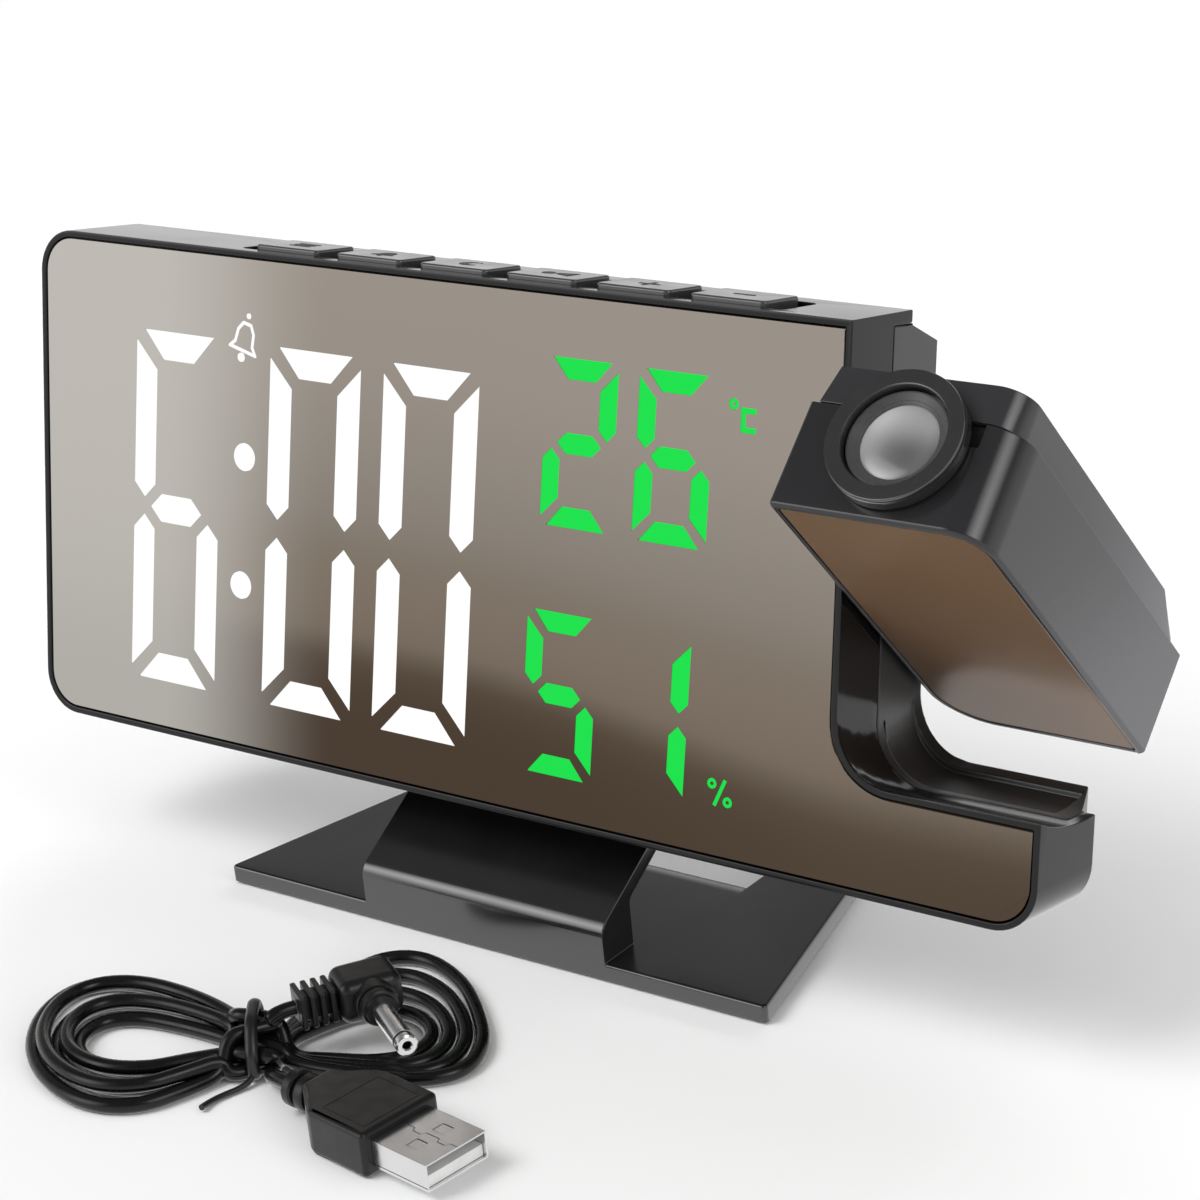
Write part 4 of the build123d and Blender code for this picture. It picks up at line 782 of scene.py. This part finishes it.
def plain_finishes(scene):
    """The finish of each material slot, apart from the mirrors and light guides."""
    case = scene.clock_case
    return {
        "gloss_case": gloss_plastic(case.gloss_colour),
        "satin_case": satin_plastic(case.satin_colour),
        "stand_plastic": stand_plastic(case.gloss_colour),
        "white_plastic": rubber("white_moulding", (0.75, 0.75, 0.73), 0.5),
        "circuit_board": circuit_board(),
        "screw_steel": bright_metal("screw_steel", (0.45, 0.45, 0.46), 0.3),
        "lamp_resin": rubber("milky_resin", (0.8, 0.8, 0.7), 0.3),
        "inner_plastic": rubber("dark_grey_plastic", (0.04, 0.04, 0.042), 0.5),
        "cell_steel": bright_metal("brushed_cell_steel", (0.55, 0.55, 0.53), 0.28),
        "sensor_plastic": rubber("sensor_plastic", (0.5, 0.5, 0.48), 0.45),
        "bush_plastic": rubber("bush_plastic", (0.02, 0.02, 0.02), 0.4),
        "black_rubber": rubber("black_rubber", (0.012, 0.012, 0.012), 0.7),
        "ring_plastic": ring_plastic(),
        "cone_plastic": rubber("lens_holder_plastic", (0.055, 0.055, 0.055), 0.3),
        "clear_lens": lens_painted_light(scene.clock_pod.lens_colour),
        "slide_glass": slide_glass(),
        "tie_cover": rubber("tie_plastic", (0.006, 0.006, 0.006), 0.35),
        "cord_cover": rubber("cord_cover_rubber", scene.clock_lead.cover_colour, 0.26, 1.4),
        "plug_cover": rubber("plug_moulding", (0.006, 0.006, 0.006), 0.34, 1.42),
        "plug_metal": bright_metal("plug_metal", (0.72, 0.72, 0.73), 0.22),
        "button_plastic": button_plastic(scene.clock_buttons.cap_colour),
    }


class CLOCK_OT_nodes(bpy.types.Operator):
    """Give every packed part the finish of its slot"""
    bl_idname = "clock.nodes"
    bl_label = "Packed parts"

    def execute(self, context):
        FINISHES.update(plain_finishes(context.scene))
        for node, slot in SLOTS.items():
            if slot in FINISHES:
                paint_node(node, plain(slot))
        return {"FINISHED"}


# ---- the stage
def area_lamp(name, place, aim, size, power):
    """An oblong lamp that lights the object without showing in reflections."""
    bpy.ops.object.light_add(type="AREA", location=place)
    lamp = bpy.context.active_object
    lamp.name = name
    lamp.data.shape = "RECTANGLE"
    lamp.data.size, lamp.data.size_y = size
    lamp.data.energy = power
    lamp.visible_glossy = False
    away = (Vector(place) - Vector(aim)).normalized()
    across = Vector((0, 0, 1)).cross(away).normalized()
    lamp.rotation_euler = Matrix((across, away.cross(across), away)).transposed().to_euler()
    return lamp


def soft_panel(name, aim, direction, half, level):
    """A panel a metre off, seen only in polished surfaces, that fades towards its edge."""
    fade = 1 - atan(half) / half
    place = Vector(aim) + Vector(direction).normalized()
    lamp = area_lamp(name, place, aim, (2 * half, 2 * half), 16 * half ** 2 * level * fade)
    lamp.data.spread = 2 * atan(half)
    lamp.visible_glossy = True
    lamp.visible_diffuse = False


def make_floor(settings):
    """Pale paper that keeps shadows, plain white in mirrors and gloss and far from the object."""
    bpy.ops.mesh.primitive_plane_add(size=2 * settings.floor_radius)
    floor = named(bpy.context.active_object, "floor")
    paper = finish("floor_paper", settings.floor_colour, 0.9, Specular_IOR_Level=0.0)
    mottled(paper, 3, shade(settings.floor_colour, 0.985), settings.floor_colour)
    distance = add_node(paper, "ShaderNodeVectorMath")
    distance.operation = "LENGTH"
    wire(paper, object_place(paper), distance.inputs[0])
    paper_end, white_start = 0.35, 1.1
    far = spread(paper, distance.outputs["Value"], paper_end, white_start)
    seen, reflected = ray_kinds(paper)
    nodes = paper.node_tree.nodes
    mix = add_node(paper, "ShaderNodeMixShader")
    sources = (computed(paper, "MAXIMUM", reflected, computed(paper, "MULTIPLY", seen, far)),
               nodes["Principled BSDF"].outputs[0], add_node(paper, "ShaderNodeEmission").outputs[0])
    for source, socket in zip(sources, mix.inputs):
        wire(paper, source, socket)
    wire(paper, mix.outputs[0], nodes["Material Output"].inputs["Surface"])
    paint(floor, paper)


def make_sky(level):
    """White to the eye; in reflections white near the horizon and darker overhead."""
    world = bpy.data.worlds.new("studio")
    bpy.context.scene.world = world
    world.use_nodes = True
    height = split(world, add_node(world, "ShaderNodeTexCoord").outputs["Generated"], "Z")
    heights = ramp(world, height, tones(WHITE, (0.08, 1), (0.36, 0.27), (0.7, 0.15), (1.0, 0.2)), "LINEAR")
    seen, reflected = ray_kinds(world)
    light = mixed(world, reflected, opaque(shade(WHITE, level)), heights)
    wire(world, mixed(world, seen, light, opaque(WHITE)), world.node_tree.nodes["Background"].inputs["Color"])


def make_camera():
    aim = CAMERA_AIM.normalized()
    right = aim.cross(CAMERA_UP).normalized()
    bpy.ops.object.camera_add(location=CAMERA_AT)
    camera = bpy.context.active_object
    camera.rotation_euler = Matrix((right, right.cross(aim), -aim)).transposed().to_euler()
    camera.data.lens = CAMERA_LENS
    camera.data.sensor_width = 36
    camera.data.clip_start = 0.01
    bpy.context.scene.camera = camera


class CLOCK_OT_stage(bpy.types.Operator):
    """Lay the floor and set the sky, lamps and camera"""
    bl_idname = "clock.stage"
    bl_label = "Stage"

    def execute(self, context):
        settings = context.scene.clock_stage
        context.scene.view_settings.view_transform = "Standard"
        make_floor(settings)
        make_sky(settings.sky_level)
        power = settings.key_power
        middle = (0, 0, 0.05)
        area_lamp("key", (-0.7, -0.8, 1.3), middle, (0.9, 0.9), 6.1 * power)
        area_lamp("fill", (1.3, -0.1, 0.5), (0.06, 0, 0.06), (0.5, 0.9), 2 * power)
        area_lamp("back", (-0.3, 1.2, 0.9), middle, (1.2, 0.5), 2.5 * power)
        soft_panel("pod_panel", (0.09, -0.02, 0.09), (0.76, -0.15, 0.63), 0.42, 1.5 * power)
        soft_panel("stand_panel", (-0.01, -0.03, 0.015), (-0.573, -0.66, 0.475), 0.5, 1.2 * power)
        make_camera()
        return {"FINISHED"}


# ---- the lead
def from_stand(point):
    """A point of the lead's route in the shared frame."""
    return (Vector(point) + STAND_TO_FRAME) * MM


def from_tie(point):
    """The same for a point along and across the bundle."""
    return from_stand(TIE_AT + Matrix.Rotation(radians(TIE_TURN), 3, "Z") @ Vector(point))


def laid(point, turn):
    """Placement at a point of the route, turned about the upright by some degrees."""
    return Matrix.Translation(from_stand(point)) @ Matrix.Rotation(radians(turn), 4, "Z")


def passing(way, v, z):
    """One pass under the tie, to the left (-1) or the right (1)."""
    return [(-PASS_REACH * way, v + PASS_SLANT, z), (0, v, z), (PASS_REACH * way, v - PASS_SLANT, z)]


def lobe(outer, inner, share, height):
    """One turn of a loop between its widest and its narrowest turn."""
    return [(u0 + (u1 - u0) * share, v0 + (v1 - v0) * share, height)
            for (u0, v0), (u1, v1) in zip(outer, inner)]


def cord_points():
    """Control points from the power plug, through the hank's turns, to the other plug."""
    turns = []
    for index, (share, height) in enumerate(zip(LEFT_SHARES, LEFT_HEIGHTS)):
        turns += passing(-1, *LOW_PASSES[index])
        turns += lobe(LEFT_OUTER, LEFT_INNER, share, height)
        turns += passing(1, *HIGH_PASSES[index])
        if index < len(RIGHT_SHARES):
            turns += lobe(RIGHT_OUTER, RIGHT_INNER, RIGHT_SHARES[index], ON_FLOOR)
    return [*map(from_stand, reversed(DC_ROUTE)), *map(from_tie, turns), *map(from_stand, USB_ROUTE)]


def round_line(name, points, radius, steps, roundness, closed=False):
    """A round cord along the smooth line that control points give, metres."""
    curve = bpy.data.curves.new(name, "CURVE")
    curve.dimensions = "3D"
    spline = curve.splines.new("NURBS")
    spline.points.add(len(points) - 1)
    for knot, point in zip(spline.points, points):
        knot.co = (*point, 1)
    spline.order_u = 3
    spline.use_endpoint_u = not closed
    spline.use_cyclic_u = closed
    curve.resolution_u = steps
    curve.bevel_depth = radius
    curve.bevel_resolution = roundness
    curve.use_fill_caps = not closed
    return linked(name, curve)


def rod(name, points, radius, closed=False):
    """A mesh rod along control points, millimetres."""
    points = [Vector(point) * MM for point in points]
    return clean(as_mesh(round_line(name, points, radius * MM, 6, roundness=4, closed=closed)))


POWER_COLLAR = (
    (0.4, 3.2), (3.5, 3.2), (3.5, 5.5), (3.3, 5.7), (3.0, 5.75), (3.0, 6.1), (3.15, 6.15), (3.2, 6.3),
    (3.05, 7.3), (2.85, 7.5), (2.6, 7.55), (2.5, 8.3), (0.4, 8.3))
POWER_PIN = (
    (0.675, 12.7), (0.675, 20.6), (0.85, 20.82), (1.5, 20.82), (1.75, 20.6), (1.75, 19.5), (1.62, 19.45),
    (1.62, 18.85), (1.75, 18.8), (1.75, 8.32), (0.3, 8.32), (0.3, 12.7))
PIN_BAND = ((1.55, 18.87), (1.72, 18.87), (1.72, 19.43), (1.55, 19.43))
FINS, FIRST_FIN, FIN_PITCH, FIN_WIDTH = 4, 0.25, 1.65, 0.95


def make_power_plug(steps):
    """Right-angled plug: comb of fins, boxy head, stepped collar and barrel."""
    comb = [block("comb", (0.2, -1.7, -2.1), (7.0, 1.7, 2.1), 0.5)]
    for index in range(FINS):
        start = FIRST_FIN + FIN_PITCH * index
        comb.append(block("fin", (start, -3.2, -2.8), (start + FIN_WIDTH, 3.2, 2.8), 0.3))
    head = block("head", (6.5, -4.4, -3.7), (16.9, 4.4, 3.7), 1.9, 6)
    side = axes_frame((11.9 * MM, 0, 0), (1, 0, 0), (0, 0, 1), (0, -1, 0))
    collar = turned("collar", POWER_COLLAR, steps, side)
    body = smooth(join("dc_plug_moulding", [*comb, head, collar]), 35)
    barrel = smooth(turned("dc_plug_pin", POWER_PIN, steps, side), 30)
    band = smooth(turned("dc_plug_band", PIN_BAND, steps, side), 30)
    frame = laid(DC_ENTRY, DC_TURN)
    for piece, slot in ((body, "plug_cover"), (barrel, "plug_metal"), (band, "plug_cover")):
        paint(settle(piece, frame), plain(slot))
    stand_for(body, "dc_plug_body")
    stand_for(barrel, "dc_plug_barrel")
    add_on(band)
    return body, barrel, band


USB_RELIEF = (
    (0.5, 0.1), (2.2, 0.1), (2.2, 0.5), (2.8, 0.55), (3.05, 0.9), (3.05, 2.2), (2.8, 2.55), (2.3, 2.65),
    (2.3, 3.25), (2.8, 3.35), (3.05, 3.7), (3.05, 5.0), (2.8, 5.4), (2.4, 5.5), (2.4, 6.6), (0.5, 6.6))
GRIP_SIDE = ((6, 3.0), (7.2, 3.3), (8.6, 4.3), (10.4, 5.9), (12.2, 7.2), (13.6, 7.65), (25.3, 7.7))
GRIP_HALF = 3.8
SHELL_START, SHELL_END = 25.4, 37.05
SEAM = (
    (SHELL_START, 0.3), (27.9, 0.3), (28.3, -0.5), (30.0, -0.5), (30.4, 0.3), (33.2, 0.3), (33.6, -0.5),
    (35.2, -0.5), (35.6, 0.3), (SHELL_END, 0.3))


def make_usb_plug(steps):
    """Straight plug: two relief rings, waisted grip with framed faces, folded shell and tongue."""
    along = axes_frame((0, 0, 0), (0, 1, 0), (0, 0, 1), (1, 0, 0))
    relief = turned("relief", USB_RELIEF, steps, along)
    outline = [(x, -y) for x, y in GRIP_SIDE] + [*reversed(GRIP_SIDE)]
    grip = round_edges(cut_plate("grip", [outline], -GRIP_HALF, GRIP_HALF), 0.9 * MM, 3)
    frames = [bar(18.9, 0, 9.4 - 2 * inset, 11.2 - 2 * inset) for inset in (0, 0.22)]
    panels = [cut_plate("panel", frames, side * GRIP_HALF - 0.05, side * GRIP_HALF + 0.05)
              for side in (1, -1)]
    body = smooth(join("usb_plug_moulding", [grip, relief, *panels]), 32)
    frame = laid(USB_ENTRY, USB_TURN)
    stand_for(paint(settle(body, frame), plain("plug_cover")), "usb_plug_body")
    shell = paint(softened("usb_plug_shell", "usb_plug_sleeve", 0.1 * MM), plain("plug_metal"))
    tongue = paint(softened("usb_plug_tongue", "usb_plug_tab", 0.15 * MM), plain("white_plastic"))
    latches = [block("latch", (30.52, y - 1.03, 1.95), (32.72, y + 1.03, 2.19), 0.05) for y in (-2.6, 2.6)]
    latch = settle(smooth(join("usb_plug_latches", latches), 30), frame)
    line = [*SEAM, *((x + 0.05, y + 0.13) for x, y in reversed(SEAM))]
    joint = cut_plate("usb_plug_seam", [line], 2.2, 2.262)
    edges = [block("edge", (SHELL_START, y - 0.012, -1.75), (SHELL_END, y + 0.012, -1.6), 0.005, 1)
             for y in (-6.0, 6.0)]
    seams = settle(join("usb_plug_seams", [joint, *edges]), frame)
    for piece, slot in ((latch, "plug_metal"), (seams, "plug_cover")):
        add_on(paint(piece, plain(slot)))
    return body, shell, tongue, latch, seams


def make_tie():
    """Soft tie hugging the bundle, its end lying on the floor."""
    half, low = 6.7, 0.8
    ring = ((-half, 2.6), (-half, 4.7), (-4.8, 6.8), (-2.6, 8.6), (0.6, 8.7), (3.9, 8.7), (5.8, 6.9),
            (half, 4.8), (half, 2.6), (half, 1.0), (4.5, low), (0, low), (-4.5, low), (-half, 1.0))
    band = rod("tie_band", [(0, y, z) for y, z in ring], 0.74, closed=True)
    band.scale = (1.4, 1, 1)
    tail = rod("tie_tail", ((0, -half, 1.6), (-0.6, -7.8, 0.9), (-2.4, -9.2, 0.55), (-4.6, -10.6, 0.55),
                            (-6.6, -12.4, 0.6), (-7.6, -14.4, 0.9)), 0.5)
    tie = smooth(join("wire_tie", [settle(band), tail]), 50)
    settle(tie, laid((TIE_AT.x, TIE_AT.y, -STAND_TO_FRAME.z), TIE_TURN))
    return stand_for(paint(tie, plain("tie_cover")), "cable_tie")


class CLOCK_OT_lead(bpy.types.Operator):
    """Lay the hanked lead"""
    bl_idname = "clock.lead"
    bl_label = "Lead"

    def execute(self, context):
        settings = context.scene.clock_lead
        steps = settings.plug_steps
        cord = round_line("power_cord", cord_points(), settings.diameter / 2, steps=8, roundness=5)
        paint(cord, plain("cord_cover"))
        stand_for(cord, "cable_hank", "cable_lead_dc", "cable_lead_usb")
        ends = [*make_power_plug(steps), *make_usb_plug(steps), make_tie()]
        return {"FINISHED"}


# ---- case
def back_openings():
    """Tells whether a place lies among the openings in the rear case's flat back."""
    flat = end_face("rear_shell", BACK)[0]
    left = extent(flat, RIGHT)[0] + BACK_MARGIN
    low, high = extent(flat, UP)
    return lambda place: (left < place.x < NOTCH_START
                          and low + BACK_MARGIN < place.dot(UP) < high - BACK_MARGIN)


class CLOCK_OT_case(bpy.types.Operator):
    """Round the edges of the front rim, rear case, stand, battery door and power socket"""
    bl_idname = "clock.case"
    bl_label = "Case"

    def execute(self, context):
        width = context.scene.clock_case.edge_round
        for node, name in (("front_frame", "front_rim"), ("rear_shell", "rear_case"), ("stand", "desk_stand"),
                           ("battery_door", "coin_door"), ("dc_jack", "power_socket")):
            sharp = back_openings() if node == "rear_shell" else None
            paint(softened(node, name, width, sharp), NODES[node].material_slots[0].material)
        return {"FINISHED"}


class CLOCK_OT_mirrors(bpy.types.Operator):
    """Grind the edges of both mirrors and tint them with painted reflections"""
    bl_idname = "clock.mirrors"
    bl_label = "Mirrors"

    def execute(self, context):
        settings = context.scene.clock_mirror
        width = settings.edge_width
        low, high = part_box("mirror_panel")
        border, x, z = 6 * MM, 0, 2
        windows = {x: (low.x + 2 * border, WINDOWS_END), z: (low.z + border, high.z - border)}
        front = ground("mirror_panel", "front_mirror", width, -BACK, windows)
        paint(front, mirror_painted_reflection(settings))
        paint(ground("pod_mirror", "projector_mirror", width, POD_FRONT), pod_mirror(settings))
        return {"FINISHED"}


# ---- pod
FOCUS_COLLAR = (
    (6.9, -15.2), (7.8, -15.2), (7.8, -2.9), (10.4, -2.9), (10.62, -2.82), (10.7, -2.6), (10.7, -1.0),
    (10.5, -0.92), (10.5, -0.62), (10.7, -0.54), (10.7, -0.22), (10.62, -0.06), (10.45, 0), (8.5, 0),
    (8.28, -0.08), (8.2, -0.3), (8.2, -2.55), (6.9, -2.55))
LENS_HOLDER = (
    (6.1, -2.28), (6.16, -2.36), (6.52, -2.72), (6.52, -9.2), (6.6, -9.2), (6.6, -1.95), (7.9, -1.95),
    (7.9, -1.46), (7.82, -1.4), (7.6, -1.4))
LENS_DOME = [(6.5 * cos(radians(angle)), -2.75 + 1.05 * sin(radians(angle))) for angle in range(0, 90, 15)]
LENS = ((0.05, -8.2), (6.5, -8.2), *LENS_DOME, (0.05, -1.7))


def make_optics(steps):
    """Focus ring, the holder's flare and the domed lens, spun about the lens axis."""
    top = end_face("focus_ring", LENS_AXIS)[1]
    origin = LENS_AT + LENS_AXIS * (top - LENS_AT.dot(LENS_AXIS))
    place = axes_frame(origin, RIGHT, LENS_AXIS.cross(RIGHT), LENS_AXIS)
    for name, profile, node, slot in (
            ("focus_collar", FOCUS_COLLAR, "focus_ring", "ring_plastic"),
            ("lens_holder", LENS_HOLDER, "lens_cone", "cone_plastic"),
            ("projector_lens", LENS, "projection_lens", "clear_lens")):
        piece = smooth(turned(name, profile, steps, place), 30)
        stand_for(paint(piece, plain(slot)), node)


class CLOCK_OT_pod(bpy.types.Operator):
    """Round the projector pod's case and spin its focus ring and lens"""
    bl_idname = "clock.pod"
    bl_label = "Projector pod"

    def execute(self, context):
        settings = context.scene.clock_case
        # The rear cover's copy of the pod plastic is painted 1.6 times paler: painted light on the pod's
        # side.
        for node, name, look, factor in (
                ("pod_front_shell", "pod_front_case", "pod_black_plastic", 1.0),
                ("pod_rear_cover", "pod_rear_case", "pod_cover_plastic_painted_paler", 1.6)):
            paint(softened(node, name, settings.edge_round),
                  pod_plastic_painted_light(look, settings.gloss_colour, factor))
        make_optics(context.scene.clock_pod.ring_steps)
        return {"FINISHED"}


# ---- buttons
def cross(size, width):
    half, arm = size / 2, width / 2
    return [(-half, -arm), (-arm, -arm), (-arm, -half), (arm, -half), (arm, -arm), (half, -arm),
            (half, arm), (arm, arm), (arm, half), (-arm, half), (-arm, arm), (-half, arm)]


BELL = [(-2.2, -1.3), (2.2, -1.3), (2.2, -0.95), (1.55, -0.4), *arc(1.45, 0, 180, 13, (0, 0.55)),
        (-1.55, -0.4), (-2.2, -0.95)]
MOON = arc(1.9, 60, 330, 25) + arc(1.55, 300, 85, 17, (0.95, 0.42))
MARKS = {
    "menu_button": [bar(0, y, 4.4, 0.6) for y in (-1.35, 0, 1.35)],
    "alarm_button": [BELL, disc(0.45, (0, -1.85), 16)],
    "snooze_button": [MOON],
    "projector_button": [disc(1.15, (-1.9, 0)), [(-0.3, -0.4), (3.1, -1.8), (3.1, 1.8), (-0.3, 0.4)]],
    "plus_button": [cross(3.8, 0.65)],
    "minus_button": [bar(0, 0, 3.8, 0.65)],
}


def make_mark(node, outlines, height, ink):
    """A flat mark standing on a button's cap."""
    cap, top = end_face(node, UP)
    x, y = (sum(extent(cap, axis)) / 2 for axis in (RIGHT, BACK))
    mark = cut_plate(node.replace("button", "mark"), outlines, -0.02, height / MM)
    settle(mark, axes_frame(RIGHT * x + BACK * y + UP * top, RIGHT, BACK, UP))
    add_on(paint(mark, ink), NODES[node]["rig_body"])


class CLOCK_OT_buttons(bpy.types.Operator):
    """Set a plain mark on each of the six top buttons"""
    bl_idname = "clock.buttons"
    bl_label = "Buttons"

    def execute(self, context):
        settings = context.scene.clock_buttons
        ink = rubber("mark_ink", shade(settings.cap_colour, 0.12), 0.5)
        for node, outlines in MARKS.items():
            make_mark(node, outlines, settings.mark_height, ink)
        return {"FINISHED"}


# ---- display
class CLOCK_OT_display(bpy.types.Operator):
    """Light the digits and marks"""
    bl_idname = "clock.display"
    bl_label = "Display"

    def execute(self, context):
        settings = context.scene.clock_display
        for name, light, nodes in (
                ("white_light_guide", settings.white_light, ("time_segments", "colon_dots", "alarm_icon")),
                ("green_light_guide", settings.green_light, ("temperature_segments", "humidity_segments"))):
            look = lit_guide(name, light, settings.level)
            for node in nodes:
                paint_node(node, look)
        return {"FINISHED"}


# ---- the add-on
class CLOCK_PT_pieces(bpy.types.Panel):
    """Lists the clock's pieces"""
    bl_label = "Projection Alarm Clock"
    bl_idname = "CLOCK_PT_pieces"
    bl_space_type = "VIEW_3D"
    bl_region_type = "UI"
    bl_category = "Clock"

    def draw(self, context):
        for group, name in SETTINGS.items():
            box = self.layout.box()
            box.label(text=group.__doc__)
            for key in group.__annotations__:
                box.prop(getattr(context.scene, name), key)
        for operator in PIECES:
            self.layout.operator(operator.bl_idname)


SETTINGS = {StageSettings: "clock_stage", CaseSettings: "clock_case", MirrorSettings: "clock_mirror",
            DisplaySettings: "clock_display", ButtonSettings: "clock_buttons", PodSettings: "clock_pod",
            LeadSettings: "clock_lead"}
PIECES = (CLOCK_OT_stage, CLOCK_OT_nodes, CLOCK_OT_lead, CLOCK_OT_case, CLOCK_OT_mirrors, CLOCK_OT_pod,
          CLOCK_OT_buttons, CLOCK_OT_display)


def register():
    for group, name in SETTINGS.items():
        bpy.utils.register_class(group)
        setattr(bpy.types.Scene, name, PointerProperty(type=group))
    for operator in PIECES:
        bpy.utils.register_class(operator)
    bpy.utils.register_class(CLOCK_PT_pieces)


def unregister():
    bpy.utils.unregister_class(CLOCK_PT_pieces)
    for operator in reversed(PIECES):
        bpy.utils.unregister_class(operator)
    for group, name in SETTINGS.items():
        delattr(bpy.types.Scene, name)
        bpy.utils.unregister_class(group)


def main():
    register()
    bpy.ops.clock.stage()
    bpy.ops.clock.nodes()
    bpy.ops.clock.lead()
    bpy.ops.clock.case()
    bpy.ops.clock.mirrors()
    bpy.ops.clock.pod()
    bpy.ops.clock.buttons()
    bpy.ops.clock.display()


if __name__ == "__main__":
    main()
